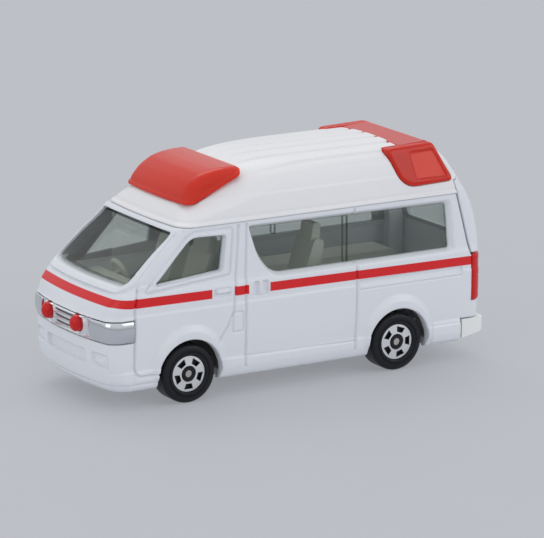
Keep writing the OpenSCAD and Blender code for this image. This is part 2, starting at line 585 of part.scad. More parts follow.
// Interior moulding
tub_z = low(0.468);
tub_t = 1;
leaf_t = 0.3;
pad_z = wheel_r + axle_r + 2 * leaf_t + axle_travel + 0.45;
seat_z = tub_z + tub_t;
seat_y = half_w - 8.2;
seat_w = 6.6;
dash_x = fore(13.8);
bed_x = aft(40.4);
module seat(x, y, w) translate([x, y, seat_z]) {
  along_y(-w / 2, w / 2) polygon(soft([[-1, 0], [6.4, 0], [6.6, 3.6], [1.2, 3.2], [-1.6, 11.6],
    [-3.6, 11.2], [-1.6, 2]], [0, 0.3, 0.9, 0.6, 0.8, 0.8, 0.8]));
  along_y(-w / 2 + 0.9, w / 2 - 0.9) polygon(soft([[-1.2, 10], [-1.9, 14.2], [-3.3, 14], [-3, 10]],
    [0, 0.6, 0.6, 0]));
}
module interior_tub() color(beige) {
  difference() {
    translate([0, 0, tub_z]) linear_extrude(tub_t)
      polygon(van_plan(tub_z, wall + gap, nose_wall + gap + 2, rear_frame + gap));
    translate([front_post_x, 0, 0]) cylinder(r = post_r + gap, h = gutter_z);
    translate([front_post_x, -0.6 - gap, 0]) cube([20, 1.2 + 2 * gap, gutter_z]);
  }
  for (x = [front_axle_x, rear_axle_x]) translate([x - saddle_w / 2, -saddle_y1, pad_z])
    cube([saddle_w, 2 * saddle_y1, tub_z - pad_z + 0.1]);
  for (s = [-1, 1]) seat(fore(21.8), s * seat_y, seat_w);
  seat(aft(33.8), seat_y + 1, seat_w - 1);
  difference() {
    along_y(3.8 - half_w, half_w - 3.8) polygon(soft([[dash_x, seat_z - 0.1], [dash_x + 3.8, seat_z - 0.1],
      [dash_x + 5.6, seat_z + 4.7], [dash_x + 4.8, seat_z + 6.6], [dash_x + 1.2, seat_z + 6.9],
      [dash_x + 0.4, seat_z + 5.1]], [0, 0, 1, 1, 1, 0.6]));
    translate([front_post_x, 0, 0]) cylinder(r = post_r + gap, h = gutter_z);
  }
  translate([dash_x, -seat_y, seat_z + 6.7]) rotate([0, -62, 0]) {
    rotate_extrude() translate([2.1, 0]) circle(r = 0.4);
    translate([0, 0, -1.6]) cylinder(r = 0.5, h = 1.8);
    for (a = [0, 120, 240]) rotate([0, 0, a]) translate([0, -0.25, -0.2]) cube([2.1, 0.5, 0.4]);
  }
  along_y(4 - half_w, -3) polygon(soft([[aft(8.4), seat_z - 0.1], [bed_x, seat_z - 0.1],
    [bed_x, seat_z + 3.1], [bed_x - 3.6, seat_z + 4.5], [aft(8.4), seat_z + 4.5]], [0, 0, 0.4, 1, 0.4]));
}

// Base plate with axle saddles and the rear bumper
module base_outline(g) polygon(van_plan(sill_z, wall + g, nose_wall + g, rear_frame - 1.5));
saddle_y0 = hub_y - 3.8;
saddle_y1 = hub_y - 1.6;
saddle_w = 3.6;
// Sunk panels between the axles
panel_x0 = rear_axle_x + 8.4;
panel_x1 = front_axle_x - 10.6;
module base_plate() color(ivory) difference() {
  union() {
    translate([0, 0, base_z]) linear_extrude(base_t) base_outline(fit);
    for (x = [front_axle_x, rear_axle_x]) pair() translate([x - saddle_w / 2, saddle_y0, base_top - 0.2])
      cube([saddle_w, saddle_y1 - saddle_y0, pad_z - base_top + 0.2]);
    bumper();
  }
  for (x = [front_axle_x, rear_axle_x]) {
    pair() translate([x - arch_r - 0.4, hub_y - 0.7, -1]) cube([2 * arch_r + 0.8, 20, 20]);
    translate([x - axle_r - run, -20, wheel_r]) cube([2 * (axle_r + run), 40, 20]);
    rod_y(x, wheel_r, axle_r + run, -20, 20);
  }
  for (x = [front_post_x, rear_post_x]) translate([x, 0, 0]) {
    cylinder(r = pin_r + fit, h = 20);
    cylinder(r = head_r + fit, h = base_z + head_t + 0.1);
  }
  for (s = [-1, 1]) translate([panel_x0, s * 4 - 1.6, base_z - 1]) cube([panel_x1 - panel_x0, 3.2, 1.3]);
}
module bumper() intersection() {
  along_y(-half_w, half_w) polygon([[bumper_front_x - gap, base_z + 0.6], [-bumper_x + 1.6, base_z + 1.3],
    [-bumper_x + 0.4, base_z + 2.2], [-bumper_x, base_z + 3.1], [-bumper_x + 0.1, bumper_z - 0.5],
    [-bumper_x + 0.6, bumper_z], [bumper_front_x - gap, bumper_z]]);
  linear_extrude(20) polygon(both_sides(half_plan(0, -bumper_x, half_w - 0.1, 0, 1, 0.9, 1, 6)));
}

// Axles, wheels and springs
module axle(x) color(plated) {
  rod_y(x, wheel_r, axle_r, -track + 0.5, track - 0.5);
  pair() rod_y(x, wheel_r, head_r_axle, track - 0.8, track - 0.3);
}
module front_axle() axle(front_axle_x);
module rear_axle() axle(rear_axle_x);

disc_r = 3.05;
hub_r = 1.25;
// Windows through the disc: radii and width
spoke_r0 = 1.7;
spoke_r1 = 2.55;
spoke_gap = 1.15;
head_r_axle = axle_r + 0.15;
module wheel(x, s, turn) color([0.12, 0.12, 0.13]) translate([x, 0, wheel_r]) rotate([0, 0, s > 0 ? 0 : 180])
  difference() {
    translate([0, hub_y, 0]) rotate([-90, 0, 0]) rotate_extrude() polygon(concat(
      [[axle_r + run, -0.6], [1.4, -0.6], [1.4, 0], [wheel_r - 0.5, 0], [wheel_r, 0.5]],
      [for (t = [0 : 15 : 90]) [wheel_r - 0.7 + 0.7 * cos(t), wheel_w - 0.7 + 0.7 * sin(t)]],
      [[3.95, wheel_w], [3.85, wheel_w - 0.15], [3.7, wheel_w - 0.15], [3.6, wheel_w],
      [disc_r + 0.25, wheel_w], [disc_r + 0.05, wheel_w - 0.45], [disc_r, wheel_w - 0.3],
      [hub_r + 0.15, wheel_w - 0.2], [hub_r, wheel_w - 0.4], [hub_r - 0.15, wheel_w - 0.15],
      [head_r_axle + run, wheel_w - 0.15], [head_r_axle + run, wheel_w - 0.8 - run],
      [axle_r + run, wheel_w - 0.8 - run]]));
    for (k = [0 : 4]) rotate([0, 72 * k + turn, 0]) translate([-spoke_gap / 2, track - 0.75, -spoke_r1])
      cube([spoke_gap, 2, spoke_r1 - spoke_r0]);
  }
module front_left_wheel() wheel(front_axle_x, 1, 0);
module front_right_wheel() wheel(front_axle_x, -1, 0);
module rear_left_wheel() wheel(rear_axle_x, 1, 17);
module rear_right_wheel() wheel(rear_axle_x, -1, 17);

// Leaf between the axle and the tub's pad, bowed down onto the axle
leaf_y = saddle_y0 - 0.4;
leaf_low = wheel_r + axle_r + 0.03;
function leaf_line(y, h) = leaf_low + h + (pad_z - leaf_low - leaf_t) * (1 - pow(cos(90 * y / leaf_y), 2));
module spring(x) color(plated) along_x(x - 1.2, x + 1.2) polygon(concat(
  [for (i = [-8 : 8]) [leaf_y * i / 8, leaf_line(leaf_y * i / 8, 0)]],
  [for (i = [8 : -1 : -8]) [leaf_y * i / 8, leaf_line(leaf_y * i / 8, leaf_t)]]));
module front_spring() spring(front_axle_x);
module rear_spring() spring(rear_axle_x);

body_shell();
rear_gate();
gate_window();
high_roof();
front_beacon();
rear_beacon();
front_grille();
left_grille_lamp();
right_grille_lamp();
left_tail_lamp();
right_tail_lamp();
glazing();
interior_tub();
base_plate();
front_axle();
rear_axle();
front_left_wheel();
front_right_wheel();
rear_left_wheel();
rear_right_wheel();
front_spring();
rear_spring();
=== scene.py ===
import json
import math
from functools import reduce
import bpy
import numpy as np
from mathutils import Matrix, Vector


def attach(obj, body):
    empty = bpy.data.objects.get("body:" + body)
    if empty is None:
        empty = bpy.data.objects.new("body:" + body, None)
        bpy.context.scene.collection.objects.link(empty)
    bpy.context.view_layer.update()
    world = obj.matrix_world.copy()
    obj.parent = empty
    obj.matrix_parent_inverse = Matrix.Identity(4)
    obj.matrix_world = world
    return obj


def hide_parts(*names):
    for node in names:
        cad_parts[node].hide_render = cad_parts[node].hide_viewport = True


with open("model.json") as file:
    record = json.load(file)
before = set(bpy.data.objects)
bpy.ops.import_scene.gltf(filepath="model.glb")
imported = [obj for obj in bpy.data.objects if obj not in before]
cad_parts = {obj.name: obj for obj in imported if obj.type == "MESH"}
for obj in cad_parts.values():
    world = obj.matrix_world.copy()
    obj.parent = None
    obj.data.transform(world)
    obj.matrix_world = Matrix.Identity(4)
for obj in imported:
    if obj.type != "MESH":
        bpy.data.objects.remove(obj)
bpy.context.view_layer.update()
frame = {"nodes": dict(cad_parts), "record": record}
MM = 0.001

# ---- field-modelling kit: lengths in mm, a field is negative inside ----
SLOPE_STEP = 0.05  # over which a curve's slope is taken
NORMAL_STEP, SETTLE_STEP = 0.05, 0.02  # the same for a field: for normals, and for moves onto its surface
STEEP = 0.09  # least squared gradient in such a move
MOVE, MOVE_THIN = 0.6, 0.3  # longest move in cells, before and after thinning
BLOCK, NEAR, BATCH = 8, 1.25, 1500  # cells along a block, its reach to the surface, blocks at a time
TINY, HUGE = 1e-9, 1e9


class Curve:
    """Smooth curve through a table of (position, value)."""

    def __init__(self, *pts):
        self.p, self.v = np.array(pts, float).T
        r = np.diff(self.v) / np.diff(self.p)
        prod = r[:-1] * r[1:]
        mean = 2 * prod / np.where(prod > 0, r[:-1] + r[1:], 1)
        self.m = np.concatenate([[r[0]], np.where(prod > 0, mean, 0), [r[-1]]])

    def __call__(self, q):
        i = np.clip(np.searchsorted(self.p, q, "right") - 1, 0, len(self.p) - 2)
        h = self.p[i + 1] - self.p[i]
        u = np.clip((q - self.p[i]) / h, 0, 1)
        return (
            (2 * u**3 - 3 * u**2 + 1) * self.v[i]
            + (u**3 - 2 * u**2 + u) * h * self.m[i]
            + (3 * u**2 - 2 * u**3) * self.v[i + 1]
            + (u**3 - u**2) * h * self.m[i + 1]
        )

    def slope(self, q):
        return (self(q + SLOPE_STEP) - self(q - SLOPE_STEP)) / (2 * SLOPE_STEP)


def smax(a, b, k):
    """Common part of two fields, its edge rounded over k."""
    h = np.maximum(k - np.abs(a - b), 0) / k
    return np.maximum(a, b) + h * h * k / 4


def smin(a, b, k):
    return -smax(-a, -b, k)


def cut(a, b, k):
    return smax(a, -b, k)


def rounded(u, v, r):
    """Corner of radius r between two faces."""
    a, b = u + r, v + r
    return np.hypot(np.maximum(a, 0), np.maximum(b, 0)) - r + np.minimum(np.maximum(a, b), 0)


def slab(v, lo, hi):
    return np.abs(v - (lo + hi) / 2) - (hi - lo) / 2


def rect(x, z, x0, x1, z0, z1, r=0.0):
    return rounded(slab(x, x0, x1), slab(z, z0, z1), r)


def rod(x, z, x0, z0, r):
    return np.hypot(x - x0, z - z0) - r


def ease(lo, hi, v):
    """0 at lo, 1 at hi, with soft ends."""
    t = np.clip((v - lo) / (hi - lo), 0, 1)
    return t * t * (3 - 2 * t)


def soft(pts, radii, n=5):
    """Polygon with its corners rounded by short curves."""
    out, k = [], len(pts)
    for i, r in enumerate(radii):
        b = np.array(pts[i], float)
        if not r:
            out.append(tuple(b))
            continue
        to = [np.array(pts[j % k], float) - b for j in (i - 1, i + 1)]
        a, c = (b + v / np.hypot(*v) * r for v in to)
        for t in np.linspace(0, 1, n):
            out.append(tuple((1 - t) ** 2 * a + 2 * t * (1 - t) * b + t * t * c))
    return out


def spans(x, z, pts, closed):
    """Squared distance to a chain of edges and whether the point is inside it."""
    d = np.full(np.broadcast(x, z).shape, HUGE)
    inside = np.zeros(d.shape, bool)
    for (ax, az), (bx, bz) in zip(pts, pts[1:] + (pts[:1] if closed else [])):
        ex, ez, wx, wz = bx - ax, bz - az, x - ax, z - az
        t = np.clip((wx * ex + wz * ez) / (ex * ex + ez * ez), 0, 1)
        d = np.minimum(d, (wx - ex * t) ** 2 + (wz - ez * t) ** 2)
        if closed and ez:
            inside ^= ((az > z) != (bz > z)) & (wx < ex * wz / ez)
    return d, inside


def poly(x, z, pts):
    d, inside = spans(x, z, pts, True)
    return np.where(inside, -1, 1) * np.sqrt(d)


def path(x, z, pts):
    return np.sqrt(spans(x, z, pts, False)[0])


def groove(d, depth, width):
    return -depth * np.exp(-((d / width) ** 2))


def pad(x, z, high, edge, box):
    """Height of a raised or sunk field with a soft edge."""
    return high * ease(*edge, rect(x, z, *box))


def engraved(x, z, depth, width, box):
    """Height of an engraved outline."""
    return groove(np.abs(rect(x, z, *box)), depth, width)


def polygonize(field, lo, hi, h, block=BLOCK):
    """Vertices and quads of the field's zero surface, found block by block near it."""
    lo = np.array(lo, float)
    n = np.ceil((np.array(hi) - lo) / (h * block)).astype(int)
    blocks = np.stack(np.meshgrid(*[np.arange(k) for k in n], indexing="ij"), -1).reshape(-1, 3)
    mid = lo + (blocks + 0.5) * h * block
    blocks = blocks[np.abs(field(*mid.T)) < h * block * NEAR]
    stride = np.array([(n[1] * block + 2) * (n[2] * block + 2), n[2] * block + 2, 1])
    corner = np.array([[i, j, k] for i in (0, 1) for j in (0, 1) for k in (0, 1)])
    pairs = [(a, b) for a in range(8) for b in range(a + 1, 8) if np.abs(corner[a] - corner[b]).sum() == 1]
    ids, verts, quads = [], [], []
    for s in range(0, len(blocks), BATCH):
        part = blocks[s : s + BATCH]
        g = part[:, :, None] * block + np.arange(block + 1)
        p = [lo[a] + g[:, a] * h for a in range(3)]
        f = field(p[0][:, :, None, None], p[1][:, None, :, None], p[2][:, None, None, :])
        f = np.broadcast_to(f, (len(part),) + (block + 1,) * 3)
        sign = f < 0
        own = sign[:, :-1, :-1, :-1]
        # a vertex in every cell that the surface crosses, amid its crossings of the cell's edges
        mixed = np.zeros(own.shape, bool)
        for i, j, k in corner[1:]:
            mixed |= sign[:, i : i + block, j : j + block, k : k + block] != own
        at = np.argwhere(mixed)
        if len(at):
            vals = [f[at[:, 0], at[:, 1] + i, at[:, 2] + j, at[:, 3] + k] for i, j, k in corner]
            vals = np.stack(vals, 1)
            total, count = np.zeros((len(at), 3)), np.zeros(len(at))
            for a, b in pairs:
                hit = (vals[:, a] < 0) != (vals[:, b] < 0)
                t = vals[hit, a] / (vals[hit, a] - vals[hit, b])
                total[hit] += corner[a] + t[:, None] * (corner[b] - corner[a])
                count[hit] += 1
            cell = part[at[:, 0]] * block + at[:, 1:]
            ids.append((cell + 1) @ stride)
            verts.append(lo + (cell + total / count[:, None]) * h)
        # a quad across every grid edge that the surface crosses
        for a in range(3):
            b, c = (a + 1) % 3, (a + 2) % 3
            ahead = [slice(None)] + [slice(1, block + 1) if q == a else slice(0, block) for q in range(3)]
            at = np.argwhere(own != sign[tuple(ahead)])
            if not len(at):
                continue
            base = (part[at[:, 0]] * block + at[:, 1:] + 1) @ stride
            quad = np.stack([base - stride[b] - stride[c], base - stride[c], base, base - stride[b]], 1)
            out = own[tuple(at.T)]
            quads.append(np.where(out[:, None], quad, quad[:, ::-1]))
    ids, verts, quads = np.concatenate(ids), np.concatenate(verts), np.concatenate(quads)
    order = np.argsort(ids)
    ids, verts = ids[order], verts[order]
    where = np.clip(np.searchsorted(ids, quads), 0, len(ids) - 1)
    return verts, where[(ids[where] == quads).all(1)]


def gradient(field, v, e=NORMAL_STEP):
    g = np.empty_like(v)
    for a in range(3):
        step = np.zeros(3)
        step[a] = e
        g[:, a] = (field(*(v + step).T) - field(*(v - step).T)) / (2 * e)
    return g


def settle(field, v, most):
    """Vertices moved onto the field's surface, each by at most that much."""
    g = gradient(field, v, SETTLE_STEP)
    move = (field(*v.T) / np.maximum((g * g).sum(1), STEEP))[:, None] * g
    far = np.linalg.norm(move, axis=1, keepdims=True)
    return v - move * np.minimum(1, most / np.maximum(far, TINY))


def to_mesh(name, verts, faces):
    mesh = bpy.data.meshes.new(name)
    faces = np.asarray(faces)
    size = faces.shape[1]
    mesh.vertices.add(len(verts))
    mesh.vertices.foreach_set("co", (np.asarray(verts) * MM).ravel())
    mesh.loops.add(faces.size)
    mesh.loops.foreach_set("vertex_index", faces.ravel().astype(np.int32))
    mesh.polygons.add(len(faces))
    mesh.polygons.foreach_set("loop_start", np.arange(0, faces.size, size, dtype=np.int32))
    mesh.update(calc_edges=True)
    mesh.validate()
    return mesh


def sculpt(name, field, lo, hi, h, faces):
    """A mesh of the field's surface, thinned to about that many triangles, with the field's own normals."""
    verts, quads = polygonize(field, lo, hi, h)
    verts = settle(field, verts, h * MOVE)
    mesh = to_mesh(name, verts, quads)
    tris = 2 * len(quads)
    if tris > faces:
        ob = bpy.data.objects.new(name + "_thin", mesh)
        bpy.context.scene.collection.objects.link(ob)
        mod = ob.modifiers.new("thin", "DECIMATE")
        mod.ratio = faces / tris
        deps = bpy.context.evaluated_depsgraph_get()
        thin = bpy.data.meshes.new_from_object(ob.evaluated_get(deps))
        bpy.data.objects.remove(ob)
        bpy.data.meshes.remove(mesh)
        mesh = thin
        mesh.name = name
        co = np.empty(len(mesh.vertices) * 3)
        mesh.vertices.foreach_get("co", co)
        verts = settle(field, co.reshape(-1, 3) / MM, h * MOVE_THIN)
        mesh.vertices.foreach_set("co", (verts * MM).ravel())
        mesh.update()
    normal = gradient(field, verts)
    normal /= np.maximum(np.linalg.norm(normal, axis=1, keepdims=True), TINY)
    mesh.polygons.foreach_set("use_smooth", np.ones(len(mesh.polygons), bool))
    mesh.normals_split_custom_set_from_vertices(normal.tolist())
    return mesh


def place(name, mesh, look, body, node):
    """An object that rides on a body and stands for a node of the solids."""
    ob = bpy.data.objects.new(name, mesh)
    bpy.context.scene.collection.objects.link(ob)
    mesh.materials.clear()
    mesh.materials.append(look)
    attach(ob, body)
    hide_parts(node)


# ---- the van's lines, close to those of the solids; only the joint of roof and casting is lower ----
NOSE_X, TAIL_X, SILL_Z, GUTTER_Z = 37.2, 38.4, 3.3, 30.3
HEAD_X, FOOT_X, ROOF_Z = 23.2, 33.4, 38.2
AXLES, WHEEL_R, ARCH_R = (20.6, -20.4), 5.0, 6.0
LAMP_Z0, LAMP_Z1 = 11.8, 15.5
HINGE_X, HINGE_Z, GATE_Z0, GATE_Z1 = -32.2, 33.4, 8.7, 34.3
BUMPER_Z, JOINT_Z, JOINT_GAP = 7.3, 29.6, 0.03
# radii of edges
HAIR, KEEN, CRISP, FIRM, SOFT, EASED = 0.05, 0.1, 0.15, 0.2, 0.25, 0.3


def up(f):
    return GUTTER_Z + (ROOF_Z - GUTTER_Z) * f


# height and place: nose and tail along X, sides along Y
NOSE = Curve(
    (1.3, NOSE_X - 3.6), (2.3, NOSE_X - 2.4), (3.3, NOSE_X - 1.8), (5.2, NOSE_X - 0.7), (8.4, NOSE_X - 0.3),
    (11.8, NOSE_X - 0.2), (15.5, NOSE_X), (16, NOSE_X - 0.3), (18.2, NOSE_X - 1.5), (20.8, FOOT_X),
    (25, HEAD_X + 5.1), (28.8, HEAD_X), (30.3, HEAD_X - 1.2), (32, HEAD_X - 2.6),
)
SIDE = Curve(
    (1.3, 11.6), (2.3, 12.2), (3.3, 12.75), (4.2, 13.22), (5.4, 13.46), (6.5, 13.42), (6.95, 13.26),
    (9, 13.36), (12, 13.4), (15.7, 13.4), (16.35, 13.24), (17.3, 13.27), (18.9, 13.25), (20.1, 12.98),
    (20.8, 12.9), (25, 12.85), (28.8, 12.74), (30.3, 12.68), (32, 12.6),
)
TAIL = Curve(
    (1.3, -TAIL_X + 0.7), (2.3, -TAIL_X + 0.6), (12, -TAIL_X), (20.4, -TAIL_X), (24, -TAIL_X + 0.55),
    (27.3, -TAIL_X + 1.5), (30.3, -TAIL_X + 3), (up(0.55), -TAIL_X + 5.7), (ROOF_Z, -TAIL_X + 9),
    (40, -TAIL_X + 11.4),
)
ROOF_SIDE = Curve((29, 12.8), (29.7, 12.72), (33.7, 12.05), (37.35, 10.95), (40, 10.1))
BROW = Curve(
    (28.3, HEAD_X - 0.3), (JOINT_Z, HEAD_X - 0.8), (30.6, HEAD_X - 1.5), (up(0.21), HEAD_X - 2.6),
    (up(0.36), HEAD_X - 4.1), (up(0.56), HEAD_X - 7), (up(0.79), HEAD_X - 11), (ROOF_Z, HEAD_X - 15.8),
    (40, HEAD_X - 21),
)
# height and bow of the nose in plan, height and radius of its corners
BOW = Curve((3.3, 1), (8.4, 0.8), (11.8, 0.95), (15.5, 0.95), (18.2, 0.65), (20.8, 0.8), (28.8, 0.2))
CORNER = Curve((3.3, 2.6), (8.4, 2.2), (11.8, 2), (18.2, 2.2), (20.8, 1.8), (28.8, 1.8))
BOW_AT, END_BOW, TAIL_R = 10, 0.5, 2.2  # half width at which bows are given; bow of tail and brow

# window outlines: inner and outer edge of a side's panes in X and Z, the windscreen in Y and Z
CAB_IN = soft([(26.7, 20.75), (20.0, 27.75), (13.65, 27.5), (14.35, 21.8)], (0.4, 1.3, 0.4, 0.4))
CAB_OUT = soft([(28.9, 19.65), (20.2, 28.75), (12.2, 28.65), (12.85, 20.95)], (0.6, 1.6, 0.5, 0.5))
LONG_IN = soft([(8.6, 28.3), (6.9, 23.4), (4.3, 20.05), (-31.1, 20.05), (-30.4, 28)],
               (0.4, 1.6, 2, 0.5, 0.5))
LONG_OUT = soft([(9.2, 28.85), (7.5, 23.2), (4.7, 19.5), (-32.1, 19.65), (-31.2, 28.65)],
                (0.5, 1.6, 2, 0.7, 0.7))
SCREEN = soft([(11.95, 20.85), (11.3, 28.9), (-11.3, 28.9), (-11.95, 20.85)], (1.5, 0.4, 0.4, 1.5))
SCREEN_X = 20


def outer(x, y, z):
    """The casting's outside without its small relief."""
    u = (x - NOSE(z) + BOW(z) * (y / BOW_AT) ** 2) / np.hypot(1, NOSE.slope(z))
    t = (TAIL(z) + END_BOW * (y / BOW_AT) ** 2 - x) / np.hypot(1, TAIL.slope(z))
    v = (np.abs(y) - SIDE(z)) / np.hypot(1, SIDE.slope(z))
    return np.maximum(rounded(u, v, CORNER(z)), rounded(t, v, TAIL_R))


# ---- relief of the casting ----
# brim round an arch: radius at the axle's height, how much more above, over what height, and its height
BRIM_R, BRIM_MORE, BRIM_OVER, BRIM_H = 6.9, 1.6, 8.4, 0.62
BRIM_OUT, BRIM_IN, BRIM_FOOT = 0.1, 1.1, (3.6, 6)
# engraved lines of a side: path in X and Z, depth, width
DOORS = [
    ([(30.3, 20.2), (30.9, 17.4), (31.05, 13), (31.1, 7.4), (30.7, 6.2), (30, 5.8), (26, 5.8)], 0.38, 0.2),
    ([(11.0, 29), (11.3, 23.8), (12.1, 14.6), (13.3, 12.2), (15.05, 9.8)], 0.34, 0.19),
    ([(9.4, 29), (9.73, 18.5), (9.8, 4.9)], 0.36, 0.2),
    ([(-11.75, 29.1), (-12.1, 19.5), (-12, 10.5), (-11.75, 4.9)], 0.36, 0.2),
    ([(9.7, 6.7), (-11.8, 6.4)], 0.2, 0.17),
    ([(22.6, 28.7), (26.2, 25.5), (29.9, 22), (30.3, 20.2)], 0.22, 0.18),
]
NOSE_STEP, NOSE_STEP_X, NOSE_STEP_Z = 0.16, (31.05, 31.35), (20.4, 19.6)  # nose panel over the door
# raised and sunk fields: height, soft edge, box with its corner radius
TAIL_BLOCK = 0.32, (0.25, -0.2), (-33.2, -27.3, 3.9, 7.45, 0.4)
CHANNEL = -0.36, (0.12, -0.12), (-33.4, -12.6, 15.1, 16.8, 0.1)
CAB_WELL = -0.34, (0.2, -0.25), (12.75, 15.9, 17.35, 18.8, 0.4)
CAB_HANDLE = 0.6, (0.15, -0.2), (12.8, 15.5, 17.95, 18.65, 0.3)
SLIDE_WELL = -0.45, (0.18, -0.18), (5.4, 8.25, 16.8, 19.1, 0.4)
SLIDE_HANDLE = 0.62, (0.15, -0.2), (6.45, 7.25, 16.8, 19.1, 0.3)
BUMPER_SLOT = -0.75, (0.16, -0.16), (-6.5, 6.5, 7.65, 9.85, 0.5)
BUMPER_WELL = -0.55, (0.16, -0.16), (8.2, 12.1, 7.6, 9.85, 0.5)
BUMPER_LAMP = 0.3, (0.5, -0.3), (8.9, 11.3, 8.15, 9.25, 0.5)
SEAM_X, SEAM, SEAM_Z = -33.35, (0.25, 0.2), (7.9, 7.5)  # upright line at the tail block
RAIL_H, RAIL_Z, RAIL_EDGE, RAIL_END = 0.24, 15.45, (0.5, 0.1), (0.1, -0.2)
RIDGE_H, RIDGE_EDGE, RIDGE_LINE, RIDGE_GROOVE = 0.16, (0, -0.4), 0.1, (0.24, 0.17)  # round the cab glass
LIP_Z, LIP, LIP_X = 4.5, (0.14, 0.2), (25, 27)  # line round the nose over the lower lip
FUEL_FLAP = 0.26, 0.17, (10.3, 12.3, 11.05, 14.4, 0.45)
BEAD_H, BEAD_OUT, BEAD_IN = 0.3, (1.05, 0.75), (-0.3, 0.2)  # bead round the windscreen, and its groove
BEAD_LINE, BEAD_GROOVE = 1.15, (0.12, 0.15)
# where the relief of a side, of the front and of the windscreen fades out
FLANK_Y, FLANK_NOSE, FLANK_TAIL = (8.5, 10), (34.5, 33), (-36, -34.5)
FRONT_X, BEAD_X = (31.5, 33.5), (20, 22)


def side_relief(x, z):
    """Height of the side's relief above the plain side: arches, door lines, wells and blocks."""
    h = np.zeros(np.broadcast(x, z).shape)
    for ax in AXLES:
        rho = np.hypot(x - ax, z - WHEEL_R)
        brim = BRIM_R + BRIM_MORE * np.clip((z - WHEEL_R) / BRIM_OVER, 0, 1)
        h = np.maximum(h, BRIM_H * ease(brim + BRIM_OUT, brim - BRIM_IN, rho) * ease(*BRIM_FOOT, z))
    for pts, depth, width in DOORS:
        h = h + groove(path(x, z, pts), depth, width)
    h = h + NOSE_STEP * ease(*NOSE_STEP_X, x) * ease(*NOSE_STEP_Z, z)
    h = h + pad(x, z, *TAIL_BLOCK)
    h = h + groove(x - SEAM_X, *SEAM) * ease(*SEAM_Z, z)
    # channel of the sliding door with its rail
    h = h + pad(x, z, *CHANNEL)
    h = h + RAIL_H * ease(*RAIL_EDGE, np.abs(z - RAIL_Z)) * ease(*RAIL_END, rect(x, z, *CHANNEL[2]))
    for field in (CAB_WELL, CAB_HANDLE, SLIDE_WELL, SLIDE_HANDLE):
        h = h + pad(x, z, *field)
    frame_line = poly(x, z, CAB_OUT)
    return h + RIDGE_H * ease(*RIDGE_EDGE, frame_line) + groove(frame_line - RIDGE_LINE, *RIDGE_GROOVE)


def front_relief(y, z):
    ay = np.abs(y)
    return pad(y, z, *BUMPER_SLOT) + pad(ay, z, *BUMPER_WELL) + pad(ay, z, *BUMPER_LAMP)


# ---- body casting ----
SILL_EDGE, INSIDE_EDGE = 0.5, 0.12
CAST_T, TAIL_T, REVEAL, CAB_SPLAY = 1.25, 5, 0.9, 0.3  # walls, depth and splay of the window edges
ARCH_Y = 7.5
GATE_GAP, GATE_REBATE = 0.36, 1.5
DOORWAY_Y, DOORWAY_Z, DOORWAY_X = 9.8, (11, 28.6), -28
BUMPER_X, BUMPER_GAP = -33.4, 0.2
SLOT_DEEP, SLOT_GAP, SLOT_X = 1.08, 0.08, 30.92  # slot for the nose insert
TAIL_LAMP_Y, TAIL_LAMP_Z, TAIL_LAMP_X = 11.3, (10.5, 18.6), -35.4
POCKET_GAP, POCKET_DEEP = 0.06, 1.2  # pocket of a tail lamp
# the gate's outline: the wide upper part in X and Z, the lower part between the tail lamps
GATE_WIDE_Z, GATE_LOW_Z, GATE_LOW_Y, GATE_IN, GATE_BEYOND = 18.9, 20, 10.8, 3, 4
GATE_UPPER = [(-TAIL_X + 7, GATE_Z1), (-TAIL_X + 6, GUTTER_Z), (-TAIL_X + GATE_IN, GATE_WIDE_Z),
              (-TAIL_X - GATE_BEYOND, GATE_WIDE_Z), (-TAIL_X - GATE_BEYOND, GATE_Z1)]


def gate_zone(x, ay, z, g):
    """All that belongs to the gate, grown by g."""
    upper = poly(x, z, GATE_UPPER) - g
    lower = rect(x, z, -TAIL_X - GATE_BEYOND, -TAIL_X + GATE_IN + g, GATE_Z0 - g, GATE_LOW_Z)
    return np.minimum(upper, smax(lower, ay - GATE_LOW_Y - g, FIRM))


def tail_lamp_zone(x, ay, z, g):
    return np.maximum(np.maximum(slab(z, *TAIL_LAMP_Z) - g, TAIL_LAMP_Y - g - ay), x - TAIL_LAMP_X - g)


